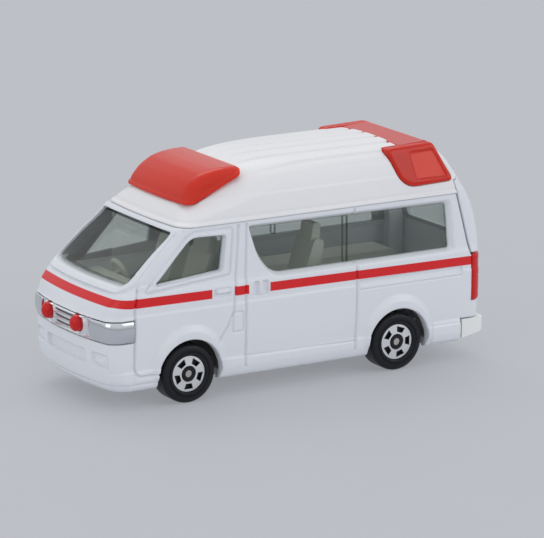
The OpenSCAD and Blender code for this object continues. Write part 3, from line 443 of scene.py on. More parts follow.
def body(x, y, z):
    ay = np.abs(y)
    o = outer(x, y, z)
    flap = engraved(x, z, *FUEL_FLAP) * (y > 0)
    h = (side_relief(x, z) + flap) * ease(*FLANK_Y, ay) * ease(*FLANK_NOSE, x) * ease(*FLANK_TAIL, x)
    h = h + front_relief(y, z) * ease(*FRONT_X, x) + groove(z - LIP_Z, *LIP) * ease(*LIP_X, x)
    screen = poly(y, z, SCREEN)
    bead = BEAD_H * ease(*BEAD_OUT, screen) * ease(*BEAD_IN, screen)
    bead = bead + groove(screen - BEAD_LINE, *BEAD_GROOVE)
    h = h + bead * ease(*BEAD_X, x)
    d = smax(smax(o - h, z - JOINT_Z + JOINT_GAP, SOFT), SILL_Z - z, SILL_EDGE)
    # windows, splayed from their inner to their outer edge
    s = np.clip(1 + d / REVEAL, 0, 1)
    d = cut(d, poly(x, z, CAB_IN) - CAB_SPLAY * s, SOFT)
    a, b = poly(x, z, LONG_IN), poly(x, z, LONG_OUT)
    d = cut(d, a + (b - a) * s, SOFT)
    d = cut(d, np.maximum(screen, SCREEN_X - x), CRISP)
    # hollow, arches, gate, doorway, bumper, insert and lamps
    d = cut(d, np.maximum(o + CAST_T, TAIL(z) + TAIL_T - x), INSIDE_EDGE)
    for ax in AXLES:
        d = cut(d, np.maximum(rod(x, z, ax, WHEEL_R, ARCH_R), ARCH_Y - ay), EASED)
    d = cut(d, np.maximum(gate_zone(x, ay, z, GATE_GAP), -(o + GATE_REBATE)), CRISP)
    doorway = np.maximum(np.maximum(ay - DOORWAY_Y, slab(z, *DOORWAY_Z)), x - DOORWAY_X)
    d = cut(d, doorway, CRISP)
    d = cut(d, np.maximum(x - BUMPER_X, z - BUMPER_Z - BUMPER_GAP), CRISP)
    slot = np.maximum(-(o + SLOT_DEEP), slab(z, LAMP_Z0, LAMP_Z1) - SLOT_GAP)
    d = cut(d, np.maximum(slot, SLOT_X - x), KEEN)
    return cut(d, np.maximum(tail_lamp_zone(x, ay, z, POCKET_GAP), -(o + POCKET_DEEP)), KEEN)


# ---- rear gate and its pane ----
GATE_T = 1.3
PANE_LEAN, PANE_FOOT = 0.12, 21
PANE_HOLE = 9.2, 21, 28, 1.2  # half width at its foot, foot, head and corner radius
PANE_GLASS = 9.7, 20.5, 28.5, 1.4
PANE_STEP, PANE_STEP_DEEP = 0.5, 0.35  # step round the hole
PANE_OUT, PANE_IN = 1.4, 2.0  # the pane's faces under the outside
HINGE_Y, KNUCKLE_CLEAR, BARREL_R, PIN_R, PIN_END = 8.4, 1.75, 0.9, 0.6, 9.5
GRIP, GRIP_DEEP = (-4, 4, 9.9, 11.1, 0.5), 0.6
PLATE, PLATE_DEEP = (-4.4, 4.4, 12.6, 16.2, 0.4), 0.3  # number-plate recess, left bare
ARM = [(HINGE_X, 32.6), (HINGE_X, 34.2), (-33, 34.28), (-34, 32.4)]
ARM_UNDER = 0.25


def pane_shape(ay, z, half, z0, z1, corner):
    return rounded(ay - half + PANE_LEAN * (z - PANE_FOOT), slab(z, z0, z1), corner)


def gate(x, y, z):
    ay = np.abs(y)
    o = outer(x, y, z)
    over = np.where(z > GUTTER_Z, np.maximum(o, roof_outer(x, y, z)), o)
    d = smax(smax(gate_zone(x, ay, z, 0), over, SOFT), -(o + GATE_T), FIRM)
    pane = pane_shape(ay, z, *PANE_HOLE)
    d = cut(cut(d, smax(pane - PANE_STEP, -(o + PANE_STEP_DEEP), KEEN), FIRM), pane, FIRM)
    d = cut(d, np.maximum(rod(x, z, HINGE_X, HINGE_Z, KNUCKLE_CLEAR), HINGE_Y - ay), KEEN)
    for box, deep in ((GRIP, GRIP_DEEP), (PLATE, PLATE_DEEP)):
        d = cut(d, smax(rect(y, z, *box), -(o + deep), FIRM), FIRM)
    arm = np.maximum(np.maximum(poly(x, z, ARM), ay - HINGE_Y), over + ARM_UNDER)
    barrel = np.maximum(rod(x, z, HINGE_X, HINGE_Z, BARREL_R), ay - HINGE_Y)
    pins = np.maximum(rod(x, z, HINGE_X, HINGE_Z, PIN_R), ay - PIN_END)
    return np.minimum(np.minimum(smin(d, arm, FIRM), barrel), pins)


def pane_gate(x, y, z):
    o = outer(x, y, z)
    pane = pane_shape(np.abs(y), z, *PANE_GLASS)
    return smax(smax(pane, o + PANE_OUT, KEEN), -(o + PANE_IN), KEEN)


# ---- beacons ----
BEACON = soft(
    [(20.25, 31.5), (20.2, 33.3), (19.65, 34.7), (18.3, 36.3), (16.1, 37.6), (13.9, 38.1), (11.5, 38.3),
     (8.75, 38.3), (8.6, 36)], (0, 0.5, 0.6, 0.8, 0.8, 0.7, 0.7, 0.6, 0))
BEACON_BOW, BEACON_BOW_X = 0.6, (9, 18)
BEACON_Y, BEACON_LEAN, BEACON_R = 10.2, 0.2, 1.6
SLOPE_Z, SLOPE_FALL, SLOPE_X, RIM_Z = 37.3, 0.47, 8.9, 32.9  # its foot down the brow, and its lowest rim
RIM_STEP, RIM_EDGE = 0.17, (0.4, 0.7)
SUNK, SUNK_Z = 0.5, 32.75
REAR_LAMP = soft([(-18.7, 38.3), (-28.5, 38.6), (-31.55, 32.4), (-31.2, 31.9), (-22.7, 31.65), (-20.9, 33.3)],
                 (1.3, 0.7, 0.4, 0.4, 1.6, 0.8))
REAR_LENS = soft([(-23.5, 37.3), (-28.2, 37.5), (-30.4, 32.8), (-24.3, 32.9)], (0.4, 0.4, 0.4, 0.4))
LENS_SINK, LENS_EDGE = 0.2, (0.25, -0.25)
FACE_Y, FACE_Z, FACE_OUT, FACE_R = 0.9625, 0.2707, 21.06, 0.7  # leaning outer face of a rear lamp
LAMP_IN = 8.8
REAR_BAR = [(-22.7, 37.2), (-22.7, 38.3), (-27.9, 38.65), (-30.2, 36), (-29.6, 35.4)]
BAR_Y, BAR_R = 9.6, 0.4
BAR_LINE, BAR_GROOVE = 9.75, (0.1, 0.14)


def front_beacon(x, y, z, g=0.0):
    """A pillow on the brow: its foot runs down the slope, and its sides lean in to the shoulder."""
    ay = np.abs(y)
    foot = SLOPE_Z - SLOPE_FALL * (x - SLOPE_X)
    rise = z - np.maximum(foot, RIM_Z)
    top = poly(x + BEACON_BOW * (y / BOW_AT) ** 2 * ease(*BEACON_BOW_X, x), z, BEACON)
    side = ay - BEACON_Y + BEACON_LEAN * np.maximum(rise, 0)
    dome = smax(top, side, BEACON_R) + RIM_STEP * ease(*RIM_EDGE, rise)
    return smax(dome, np.maximum(foot - SUNK, SUNK_Z) - z, EASED) - g


def rear_beacon(x, y, z, g=0.0):
    """Two leaning lamps with sunk lenses, joined by a bar."""
    ay = np.abs(y)
    face = FACE_Y * ay + FACE_Z * z - FACE_OUT + LENS_SINK * ease(*LENS_EDGE, poly(x, z, REAR_LENS))
    lamps = smax(smax(poly(x, z, REAR_LAMP), face, FACE_R), LAMP_IN - ay, EASED)
    bar = smax(poly(x, z, REAR_BAR), ay - BAR_Y, BAR_R)
    return smin(lamps, bar, SOFT) - groove(ay - BAR_LINE, *BAR_GROOVE) - g


# ---- high roof ----
RIBS, RIB_H, RIB_EDGE = (-8, -4, 0, 4, 8), 0.45, (1.8, 1.3)
RIB_REAR, RIB_FRONT = (-23.7, -22.7), (9.6, 8.9)
CROWN, ROOF_EDGE = 0.006, 1.5
BROW_R, BROW_R_MORE, BROW_R_TOP, ROOF_TAIL_R = 2.2, 3.6, 33, 2.4
GUTTER_H, GUTTER_EDGE, GUTTER_LINE, GUTTER_GROOVE = 0.2, (0.6, 0.35), 0.8, (0.08, 0.2)
CREASE_H, CREASE_Z, ROOF_FOOT_R = 0.07, (33.95, 33.5), 0.22
ROOF_T, ROOF_TOP_T, ROOF_HOLLOW_Z, ROOF_HOLLOW_X = 1.5, 1.2, 25, -32
ROOF_GATE_GAP = 0.2
EAR_R, EAR_Y, EAR_UNDER, BORE_R, BORE_END = 1.55, (8.6, 12.7), 0.08, 0.65, 9.7
SEAT_GAP = 0.06


def crown(x, y):
    ribs = RIB_H * ease(*RIB_EDGE, np.min([np.abs(y - c) for c in RIBS], axis=0))
    return ROOF_Z - CROWN * y**2 + ribs * ease(*RIB_REAR, x) * ease(*RIB_FRONT, x)


def roof_outer(x, y, z):
    u = (x - BROW(z) + END_BOW * (y / BOW_AT) ** 2) / np.hypot(1, BROW.slope(z))
    t = (TAIL(z) + END_BOW * (y / BOW_AT) ** 2 - x) / np.hypot(1, TAIL.slope(z))
    v = np.abs(y) - ROOF_SIDE(z)
    front_r = BROW_R + BROW_R_MORE * ease(JOINT_Z, BROW_R_TOP, z)
    plan = np.maximum(rounded(u, v, front_r), rounded(t, v, ROOF_TAIL_R))
    return smax(plan, z - crown(x, y), ROOF_EDGE)


def roof(x, y, z):
    ay = np.abs(y)
    o = roof_outer(x, y, z)
    lip = GUTTER_H * ease(*GUTTER_EDGE, z - JOINT_Z) + groove(z - JOINT_Z - GUTTER_LINE, *GUTTER_GROOVE)
    d = smax(o - lip - CREASE_H * ease(*CREASE_Z, z), JOINT_Z + JOINT_GAP - z, ROOF_FOOT_R)
    hollow = np.maximum(roof_outer(x, y, z + ROOF_TOP_T) + ROOF_T, ROOF_HOLLOW_Z - z)
    d = cut(d, np.maximum(hollow, ROOF_HOLLOW_X - x), FIRM)
    d = cut(d, np.maximum(gate_zone(x, ay, z, ROOF_GATE_GAP), -(o + GATE_REBATE)), CRISP)
    # ears that carry the gate's pins
    ear = rod(x, z, HINGE_X, HINGE_Z, EAR_R)
    d = cut(d, np.maximum(ear, ay - EAR_Y[0]), KEEN)
    d = np.minimum(d, np.maximum(np.maximum(ear, slab(ay, *EAR_Y)), o + EAR_UNDER))
    d = cut(d, np.maximum(rod(x, z, HINGE_X, HINGE_Z, BORE_R), ay - BORE_END), HAIR)
    d = cut(d, front_beacon(x, y, z, SEAT_GAP), KEEN)
    return cut(d, rear_beacon(x, y, z, SEAT_GAP), KEEN)


# ---- nose insert and lamps ----
LAMP_Y, LAMP_Z, LAMP_RY, LAMP_RZ = 4.9, 14.05, 1.15, 1.4
LAMP_HOLE_R, LAMP_DOME_R = 1.25, 1.2  # mean radii that scale the ovals to mm
DOME_X, DOME_LONG, NECK_X = 37.35, 1.1, 36.1
SWELL_H, SWELL_Z, SWELL_HALF, SWELL_Y = 0.4, 13.65, 1.9, (7.9, 8.3)  # headlamp lens
GRILLE_SINK = -0.4, (0.25, -0.2), (-1, 7.7, 12.2, 15.2, 0.2)
BARS_H, BARS_Z, BARS_PITCH, BARS_EDGE = 0.34, 12.7, 1.0, (0.3, 0.12)
BARS_Y, BARS_FOOT = (3.5, 3.3), (12.0, 12.2)
RING_H, RING_EDGE = 0.45, (0.75, 0.45)
LENS_LINE, LENS_GROOVE = 8, (0.3, 0.13)
INSERT_RELIEF_X, INSERT_GAP, INSERT_X, INSERT_T, INSERT_HOLE_X = (29, 31), 0.04, 31.15, 1, 30
TAIL_LAMP_OUT, TAIL_LAMP_GAP, TAIL_LAMP_R, TAIL_LAMP_T = 0.12, 0.04, 0.35, 1.1
PARTING, PARTING_EDGE, PARTING_PITCH = 0.05, (0.25, 0.0), 2.7  # lines across a tail lamp


def lamp_oval(y, z):
    return np.hypot((y - LAMP_Y) / LAMP_RY, (z - LAMP_Z) / LAMP_RZ)


def grille(x, y, z):
    """Headlamp lenses swell out on both sides, with the barred grille sunk between them."""
    ay = np.abs(y)
    o = outer(x, y, z)
    lamp = LAMP_HOLE_R * (lamp_oval(ay, z) - 1)
    lens = SWELL_H * (1 - ((z - SWELL_Z) / SWELL_HALF) ** 2) * ease(*SWELL_Y, ay)
    sunk = pad(ay, z, *GRILLE_SINK)
    bars = BARS_H * ease(*BARS_EDGE, np.abs((z - BARS_Z) % BARS_PITCH - BARS_PITCH / 2))
    bars = bars * ease(*BARS_Y, ay) * ease(*BARS_FOOT, z)
    ring = RING_H * ease(*RING_EDGE, lamp)
    h = lens + sunk + groove(ay - LENS_LINE, *LENS_GROOVE) + np.maximum(bars, ring)
    h = h * ease(*INSERT_RELIEF_X, x)
    d = smax(o - h, slab(z, LAMP_Z0 + INSERT_GAP, LAMP_Z1 - INSERT_GAP), SOFT)
    d = smax(smax(d, INSERT_X - x, EASED), -(o + INSERT_T), KEEN)
    return cut(d, np.maximum(lamp - SEAT_GAP, INSERT_HOLE_X - x), KEEN)


def grille_lamp(x, y, z):
    """Upright oval dome on a short neck."""
    dome = np.hypot(lamp_oval(y, z), np.maximum(x - DOME_X, 0) / DOME_LONG)
    return smax(LAMP_DOME_R * (dome - 1), NECK_X - x, KEEN)


def tail_lamp(x, y, z):
    o = outer(x, y, z) - TAIL_LAMP_OUT
    d = smax(tail_lamp_zone(x, y, z, -TAIL_LAMP_GAP), o, TAIL_LAMP_R)
    across = np.abs((z - TAIL_LAMP_Z[0]) % PARTING_PITCH - PARTING_PITCH / 2)
    return smax(d + PARTING * ease(*PARTING_EDGE, across), -(o + TAIL_LAMP_T), KEEN)


def mirrored(field):
    return lambda x, y, z: field(x, -y, z)


# ---- glazing ----
SIDE_GAP, SIDE_UNDER, SCREEN_GAP, SCREEN_UNDER = 0.1, 0.6, 0.28, 0.22
BAND_UNDER, BAND_Z, BAND_TAIL, GLASS_IN = 1.34, (20, 29), 5.2, 1.95  # band behind the posts; inner face
MIRROR = 0.14, 0.14, (-3.2, 1.6, 26.75, 27.75, 0.2)


def glazing(x, y, z):
    o = outer(x, y, z)
    side = np.minimum(poly(x, z, CAB_IN), poly(x, z, LONG_IN))
    side = smax(side + SIDE_GAP, o + SIDE_UNDER, CRISP)
    screen = np.maximum(poly(y, z, SCREEN) + SCREEN_GAP, SCREEN_X - x)
    screen = smax(screen, o + SCREEN_UNDER - engraved(y, z, *MIRROR), CRISP)
    band = np.maximum(o + BAND_UNDER, np.maximum(slab(z, *BAND_Z), TAIL(z) + BAND_TAIL - x))
    return np.maximum(np.minimum(np.minimum(side, screen), band), -(o + GLASS_IN))


# ---- materials: masks in mm on the piece at rest ----
FINE_DETAIL, WIDE_SCALE, WIDE_DETAIL = 5, 70, 3
SPECK_FROM, SPECK_TO, SPECK_PALE = 0.3, 0.7, 0.4
GLOSS_LEAST, GLOSS_MOST = 0.88, 1.12
COAT_ROUGH, GRAIN_DEEP = 0.08, 0.00003
MIX_SHARE, MIX_A, MIX_B, MIX_OUT = 0, 6, 7, 2  # colour sockets of a mix node
FAR, MASK_EDGE = 1000, 0.1  # beyond everything; usual soft edge of a mask


class Paint:
    """A material's node tree, with short words for its nodes and masks."""

    def __init__(self, m):
        self.nt = m.node_tree
        self.shader = self.nt.nodes["Principled BSDF"]

    def node(self, kind, **values):
        n = self.nt.nodes.new("ShaderNode" + kind)
        for k, v in values.items():
            n.inputs[k.replace("_", " ")].default_value = v
        return n

    def join(self, a, b):
        self.nt.links.new(a, b)

    def axes(self):
        split = self.node("SeparateXYZ")
        self.join(next(n for n in self.nt.nodes if n.type == "TEX_COORD").outputs["Object"], split.inputs[0])
        return split.outputs

    def op(self, kind, *values):
        n = self.node("Math")
        n.operation = kind
        for socket, v in zip(n.inputs, values):
            if isinstance(v, (int, float)):
                socket.default_value = v
            else:
                self.join(v, socket)
        return n.outputs[0]

    def every(self, *masks):
        return reduce(lambda a, b: self.op("MULTIPLY", a, b), masks)

    def some(self, *masks):
        return reduce(lambda a, b: self.op("MAXIMUM", a, b), masks)

    def ramp(self, v, lo, hi):
        """0 at lo and 1 at hi."""
        n = self.node("MapRange", From_Min=lo * MM, From_Max=hi * MM)
        self.join(v, n.inputs["Value"])
        return n.outputs[0]

    def inside(self, v, lo, hi, edge):
        """1 where lo < v < hi, with a narrow soft edge."""
        return self.every(self.ramp(v, lo - edge, lo + edge), self.ramp(v, hi + edge, hi - edge))

    def blend(self, share, a, b):
        mix = self.node("Mix")
        mix.data_type = "RGBA"
        self.join(share, mix.inputs[MIX_SHARE])
        for at, v in ((MIX_A, a), (MIX_B, b)):
            if isinstance(v, tuple):
                mix.inputs[at].default_value = (*v, 1)
            else:
                self.join(v, mix.inputs[at])
        return mix.outputs[MIX_OUT]

    def over(self, mask, colour):
        """A colour laid over the material's own where the mask is 1."""
        base = self.shader.inputs["Base Color"]
        self.join(self.blend(mask, base.links[0].from_socket, colour), base)

    def surface(self, share, a, b):
        """Two shaders mixed, as the material's surface."""
        mix = self.node("MixShader")
        self.join(share, mix.inputs[0])
        self.join(a.outputs[0], mix.inputs[1])
        self.join(b.outputs[0], mix.inputs[2])
        self.join(mix.outputs[0], self.nt.nodes["Material Output"].inputs[0])


def material(name, colour, rough, metal=0.0, speck=0.02, fine=900, grain=0.01, coat=0.0, **sockets):
    """Principled material with fine colour and gloss variation, and grain as bump."""
    m = bpy.data.materials.new(name)
    m.use_nodes = True
    p = Paint(m)
    where = p.node("TexCoord").outputs["Object"]
    noise = p.node("TexNoise", Scale=fine, Detail=FINE_DETAIL)
    wide = p.node("TexNoise", Scale=WIDE_SCALE, Detail=WIDE_DETAIL)
    for n in (noise, wide):
        p.join(where, n.inputs["Vector"])
    tone = p.node("ValToRGB")
    stops = tone.color_ramp.elements
    for el, at, k in zip(stops, (SPECK_FROM, SPECK_TO), (1 - speck, 1 + speck * SPECK_PALE)):
        el.position = at
        el.color = [min(1, c * k) for c in colour] + [1]
    gloss = p.node("MapRange", To_Min=rough * GLOSS_LEAST, To_Max=rough * GLOSS_MOST)
    bump = p.node("Bump", Strength=grain, Distance=GRAIN_DEEP)
    sink = p.shader.inputs
    p.join(wide.outputs["Fac"], tone.inputs["Fac"])
    p.join(tone.outputs["Color"], sink["Base Color"])
    p.join(noise.outputs["Fac"], gloss.inputs["Value"])
    p.join(gloss.outputs["Result"], sink["Roughness"])
    p.join(noise.outputs["Fac"], bump.inputs["Height"])
    p.join(bump.outputs["Normal"], sink["Normal"])
    sink["Metallic"].default_value = metal
    sink["Coat Weight"].default_value = coat
    sink["Coat Roughness"].default_value = COAT_ROUGH
    for k, v in sockets.items():
        sink[k.replace("_", " ")].default_value = v
    return m


STRIPE_RED, STRIPE_EDGE, STRIPE_END = (0.70, 0.008, 0.012), 0.05, 0.06
STRIPE_Z, STRIPE_FALL, STRIPE_HALF = 17.93, 0.0098, 0.77  # it falls a little to the rear
STRIPE_NOSE, NOSE_LIFT, NOSE_THIN = (31.0, 34.5), 0.24, 0.13  # and is higher and thinner on the nose
STRIPE_RUNS = (16.3, 50), (9.2, 11.8), (-35.5, 5.1)  # with gaps at the door handles
STRIPE_SKIN_Y, STRIPE_SKIN_X = 12.6, 32.5  # outside only: beyond this on the sides and the nose


def paint_stripe(m):
    """Red belt stripe on the outside of the white enamel."""
    p = Paint(m)
    x, y, z = p.axes()
    nose = p.ramp(x, *STRIPE_NOSE)
    middle = p.op("MULTIPLY_ADD", x, STRIPE_FALL, STRIPE_Z * MM)
    middle = p.op("MULTIPLY_ADD", nose, NOSE_LIFT * MM, middle)
    off = p.op("ABSOLUTE", p.op("SUBTRACT", z, middle))
    off = p.op("MULTIPLY_ADD", nose, NOSE_THIN * MM, off)
    band = p.inside(off, -FAR, STRIPE_HALF, STRIPE_EDGE)
    runs = p.some(*[p.inside(x, lo, hi, STRIPE_END) for lo, hi in STRIPE_RUNS])
    skin = p.some(p.inside(p.op("ABSOLUTE", y), STRIPE_SKIN_Y, FAR, MASK_EDGE),
                  p.inside(x, STRIPE_SKIN_X, FAR, MASK_EDGE))
    p.over(p.every(band, runs, skin), STRIPE_RED)


# the second colour is painted shade, laid on the windscreen's top and side edges and on a line across the side
# panes
CLEAR_TINT, CLEAR_PAINTED_SHADE = (0.82, 0.845, 0.83), (0.25, 0.28, 0.27)
RIM_TOP, RIM_SIDE, RIM_LEAN, CLEAR_EDGE = 28.4, 13.02, 0.0807, 0.05
PANE_FRONT, PANE_HALF, PANE_SHADE_X, PANE_SHADE_EDGE = 21.5, 11.9, (-10.65, -10.25), 0.06
GLANCE_POWER, GLANCE_LEAST = 5, 0.04  # mirror share of clear plastic


def see_through(m):
    """Clear moulding: tinted see-through seen square on, a mirror of the room at a glance."""
    p = Paint(m)
    x, y, z = p.axes()
    aside = p.op("ABSOLUTE", y)
    # painted shade: the tint is darker where the moulding is seen edge on, on a line across the side panes and
    # at the windscreen's top and side edges
    rim = p.some(p.inside(z, RIM_TOP, FAR, CLEAR_EDGE),
                 p.inside(p.op("MULTIPLY_ADD", z, RIM_LEAN, aside), RIM_SIDE, FAR, CLEAR_EDGE))
    screen = p.every(p.inside(x, PANE_FRONT, FAR, MASK_EDGE), p.inside(aside, -FAR, PANE_HALF, MASK_EDGE))
    painted_shade = p.some(p.every(rim, screen), p.inside(x, *PANE_SHADE_X, PANE_SHADE_EDGE))
    clear = p.node("BsdfTransparent")
    p.join(p.blend(painted_shade, CLEAR_TINT, CLEAR_PAINTED_SHADE), clear.inputs["Color"])
    # the share is the same from both sides of a pane
    glance = p.op("POWER", p.node("LayerWeight").outputs["Facing"], GLANCE_POWER)
    p.surface(p.op("MULTIPLY_ADD", glance, 1 - GLANCE_LEAST, GLANCE_LEAST), clear, p.shader)


PANEL_ORANGE, PANEL_EDGE, PANEL_IN = (0.72, 0.06, 0.035), 0.12, 0.2
PANEL_FRONT, PANEL_REAR = (0.19, -23.5, 37.3), (0.463, -28.2, 37.4)  # lean, and a point in X and Z
PANEL_Z, PANEL_Y = (32.95, 37.3), 10.2


def tint_lens(m):
    """Paler orange lens panel on each side of the rear beacon."""
    p = Paint(m)
    x, y, z = p.axes()
    front, rear = (p.op("SUBTRACT", x, p.op("MULTIPLY_ADD", z, lean, (x0 - lean * z0) * MM))
                   for lean, x0, z0 in (PANEL_FRONT, PANEL_REAR))
    p.over(p.every(p.inside(front, -FAR, 0, PANEL_EDGE), p.inside(rear, 0, FAR, PANEL_EDGE),
                   p.inside(z, *PANEL_Z, PANEL_EDGE), p.inside(p.op("ABSOLUTE", y), PANEL_Y, FAR, PANEL_IN)),
           PANEL_ORANGE)


SATIN, SATIN_ROUGH, SATIN_Y = (0.88, 0.9, 0.93), 0.3, 7.8
# the near-black colour is painted shade for the hollows between the grille's bars
GAP_PAINTED_SHADE, GAP_HALF, GAP_EDGE, GAP_Y = (0.1, 0.105, 0.115), 0.17, 0.06, 3.2
GAP_ZS = [BARS_Z + BARS_PITCH * k for k in range(3)]


def dull_grille(m):
    """Pale satin plating between the headlamps, with painted shade in the hollows between the bars."""
    p = Paint(m)
    _, y, z = p.axes()
    aside = p.op("ABSOLUTE", y)
    satin = p.inside(aside, -FAR, SATIN_Y, MASK_EDGE)
    rough = p.shader.inputs["Roughness"]
    p.join(p.op("MULTIPLY_ADD", satin, SATIN_ROUGH, rough.links[0].from_socket), rough)
    shaded_gaps = p.some(*[p.inside(z, at - GAP_HALF, at + GAP_HALF, GAP_EDGE) for at in GAP_ZS])
    p.over(satin, SATIN)
    # painted shade in the hollows between the bars
    p.over(p.every(shaded_gaps, p.inside(aside, -FAR, GAP_Y, MASK_EDGE)), GAP_PAINTED_SHADE)


FOIL, FOIL_R, FOIL_Y, FOIL_EDGE, FOIL_FACE = (0.86, 0.87, 0.88), (1.32, 3.03), (12.55, 20), 0.03, 0.04
WINDOWS, WINDOW_R, WINDOW_FLARE = 5, (1.66, 2.6), 0.33


def stamp_disc(m, cx, turned):
    """Silver foil stamped on the face of a wheel whose axle is at cx, clear of its windows."""
    p = Paint(m)
    x, y, z = p.axes()
    dx = p.op("SUBTRACT", x, cx * MM)
    dz = p.op("SUBTRACT", z, WHEEL_R * MM)
    rr = p.op("SQRT", p.op("ADD", p.op("MULTIPLY", dx, dx), p.op("MULTIPLY", dz, dz)))
    foil = p.every(p.inside(rr, *FOIL_R, FOIL_EDGE), p.inside(p.op("ABSOLUTE", y), *FOIL_Y, FOIL_FACE))
    dx = p.op("MULTIPLY", dx, p.op("SIGN", y))
    for k in range(WINDOWS):
        at = math.radians(360 / WINDOWS * k + turned)
        out = p.op("MULTIPLY_ADD", dx, -math.sin(at), p.op("MULTIPLY", dz, -math.cos(at)))
        across = p.op("MULTIPLY_ADD", dx, math.cos(at), p.op("MULTIPLY", dz, -math.sin(at)))
        wide = p.op("MULTIPLY_ADD", out, -WINDOW_FLARE, p.op("ABSOLUTE", across))
        window = p.every(p.inside(out, *WINDOW_R, FOIL_EDGE), p.inside(wide, -FAR, 0, FOIL_EDGE))
        foil = p.every(foil, p.op("SUBTRACT", 1, window))
    p.over(foil, FOIL)
    p.join(foil, p.shader.inputs["Metallic"])


ENAMEL = material("white_enamel", (0.77, 0.79, 0.84), 0.26, speck=0.01, fine=1500, grain=0.012, coat=0.12,
                  Specular_IOR_Level=0.4)
paint_stripe(ENAMEL)
WHITE = material("white_plastic", (0.83, 0.83, 0.845), 0.36, speck=0.01, fine=1200, grain=0.015)
CLEAR_RED = dict(rough=0.16, speck=0.05, fine=700, Subsurface_Weight=0.7, Subsurface_Radius=(1.0, 0.12, 0.06),
                 Specular_IOR_Level=0.3)
RED = material("clear_red", (0.66, 0.034, 0.015), Subsurface_Scale=0.0016, **CLEAR_RED)
RED_LENS = material("clear_red_lens", (0.60, 0.026, 0.013), Subsurface_Scale=0.0012, **CLEAR_RED)
tint_lens(RED_LENS)
LAMP = material("lamp_red", (0.62, 0.01, 0.01), 0.24, speck=0.05, fine=700, Specular_IOR_Level=0.35)
PLATED = material("plated", (0.68, 0.71, 0.75), 0.1, 1.0, speck=0.01, fine=1800)
dull_grille(PLATED)
BEIGE = material("beige_plastic", (0.72, 0.70, 0.64), 0.55, speck=0.05, fine=1500, grain=0.06)
IVORY = material("ivory_plastic", (0.86, 0.87, 0.86), 0.42, speck=0.015, fine=1300, grain=0.03)
STEEL = material("steel", (0.6, 0.58, 0.53), 0.3, 1.0, speck=0.06, fine=2500, grain=0.15)
SPRING = material("spring_steel", (0.45, 0.46, 0.48), 0.35, 1.0, speck=0.05, fine=2200, grain=0.1)
TYRES = []
for end, cx, turned in zip(("front", "rear"), AXLES, (0, 17)):  # degrees that the windows are turned
    TYRES.append(material("black_plastic_" + end, (0.009, 0.01, 0.013), 0.4, speck=0.08, fine=1600, grain=0.08,
                          Specular_IOR_Level=0.3))
    stamp_disc(TYRES[-1], cx, turned)
SMOKE = material("smoke", (0.95, 0.96, 0.95), 0.05, 1.0, speck=0.03, fine=600)
see_through(SMOKE)

# ---- pieces: name, field, its box, cell, triangles, look, body, the node it stands for, slot ----
PIECES = [
    ("body_casting", body, (-39.6, -14.6, 2.4), (38.4, 14.6, 31), 0.2, 130000, ENAMEL,
     "van", "body_shell", "white_enamel"),
    ("roof_moulding", roof, (-36, -13.6, 29.4), (23, 13.6, 39.4), 0.17, 110000, WHITE,
     "van", "high_roof", "white_plastic"),
    ("gate_casting", gate, (-39.6, -14, 8), (-30, 14, 35.4), 0.2, 36000, ENAMEL,
     "gate", "rear_gate", "white_enamel"),
    ("gate_pane", pane_gate, (-38.5, -11, 19.6), (-31, 11, 29.4), 0.2, 6000, SMOKE,
     "gate", "gate_window", "smoke"),
    ("beacon_front", front_beacon, (7.6, -11, 32), (20.6, 11, 39), 0.2, 24000, RED,
     "van", "front_beacon", "clear_red"),
    ("beacon_rear", rear_beacon, (-33, -14, 30.8), (-17.6, 14, 39.8), 0.2, 30000, RED_LENS,
     "van", "rear_beacon", "clear_red"),
    ("nose_insert", grille, (30, -14.2, 11), (38.6, 14.2, 16.2), 0.14, 40000, PLATED,
     "van", "front_grille", "plated"),
    ("glass_moulding", glazing, (-36, -13.6, 19), (34.6, 13.6, 30), 0.2, 90000, SMOKE,
     "van", "glazing", "smoke"),
    ("grille_lamp_left", grille_lamp, (35.6, 3.2, 12), (39, 6.6, 16), 0.14, 6000, LAMP,
     "van", "left_grille_lamp", "lamp_red"),
    ("tail_lamp_left", tail_lamp, (-39.6, 10.6, 9.8), (-34.6, 14.2, 19.4), 0.14, 6000, LAMP,
     "van", "left_tail_lamp", "lamp_red"),
    ("tail_lamp_right", mirrored(tail_lamp), (-39.6, -14.2, 9.8), (-34.6, -10.6, 19.4), 0.14, 6000, LAMP,
     "van", "right_tail_lamp", "lamp_red"),
    ("grille_lamp_right", mirrored(grille_lamp), (35.6, -6.6, 12), (39, -3.2, 16), 0.14, 6000, LAMP,
     "van", "right_grille_lamp", "lamp_red"),
]
for name, field, low, high, cell, faces, look, rides, node, slot in PIECES:
    place(name, sculpt(name, field, low, high, cell, faces), look, rides, node)

# the other nodes are shown as they are, with the edges of mouldings softened
MOULD_EDGE, MOULD_STEPS, MOULD_ANGLE = 0.3, 3, 40
SLOTS = {s["node"]: s["material_slot"] for s in frame["record"]["subparts"]}
LOOKS = {"beige_plastic": BEIGE, "ivory_plastic": IVORY, "steel": STEEL, "spring_steel": SPRING}
for name, ob in frame["nodes"].items():
    slot = SLOTS[name]
    look = TYRES["rear" in name] if slot == "black_plastic" else LOOKS.get(slot)
    if look:
        ob.data.materials.clear()
        ob.data.materials.append(look)
    if slot in ("ivory_plastic", "beige_plastic"):
        edge = ob.modifiers.new("moulded_edges", "BEVEL")
        edge.width, edge.segments = MOULD_EDGE * MM, MOULD_STEPS
        edge.limit_method, edge.angle_limit = "ANGLE", math.radians(MOULD_ANGLE)
        edge.harden_normals = True

# ---- stage and light, in metres and watts ----
SKY_STOPS = (0.0, 0.5), (0.09, 0.6), (0.22, 0.88), (0.6, 0.92)  # height and level: dimmer to the horizon
SKY_TINT, SKY_STRENGTH = (0.96, 0.975, 1), 0.86
FLOOR_HALF, PAPER, PAPER_ROUGH = 3, (0.72, 0.738, 0.775), 0.6
EVEN, EVEN_SHARE = (0.395, 0.409, 0.437, 1), 0.6  # even backdrop, for what is seen and mirrored only
AIM = (0, 0, 0.02)
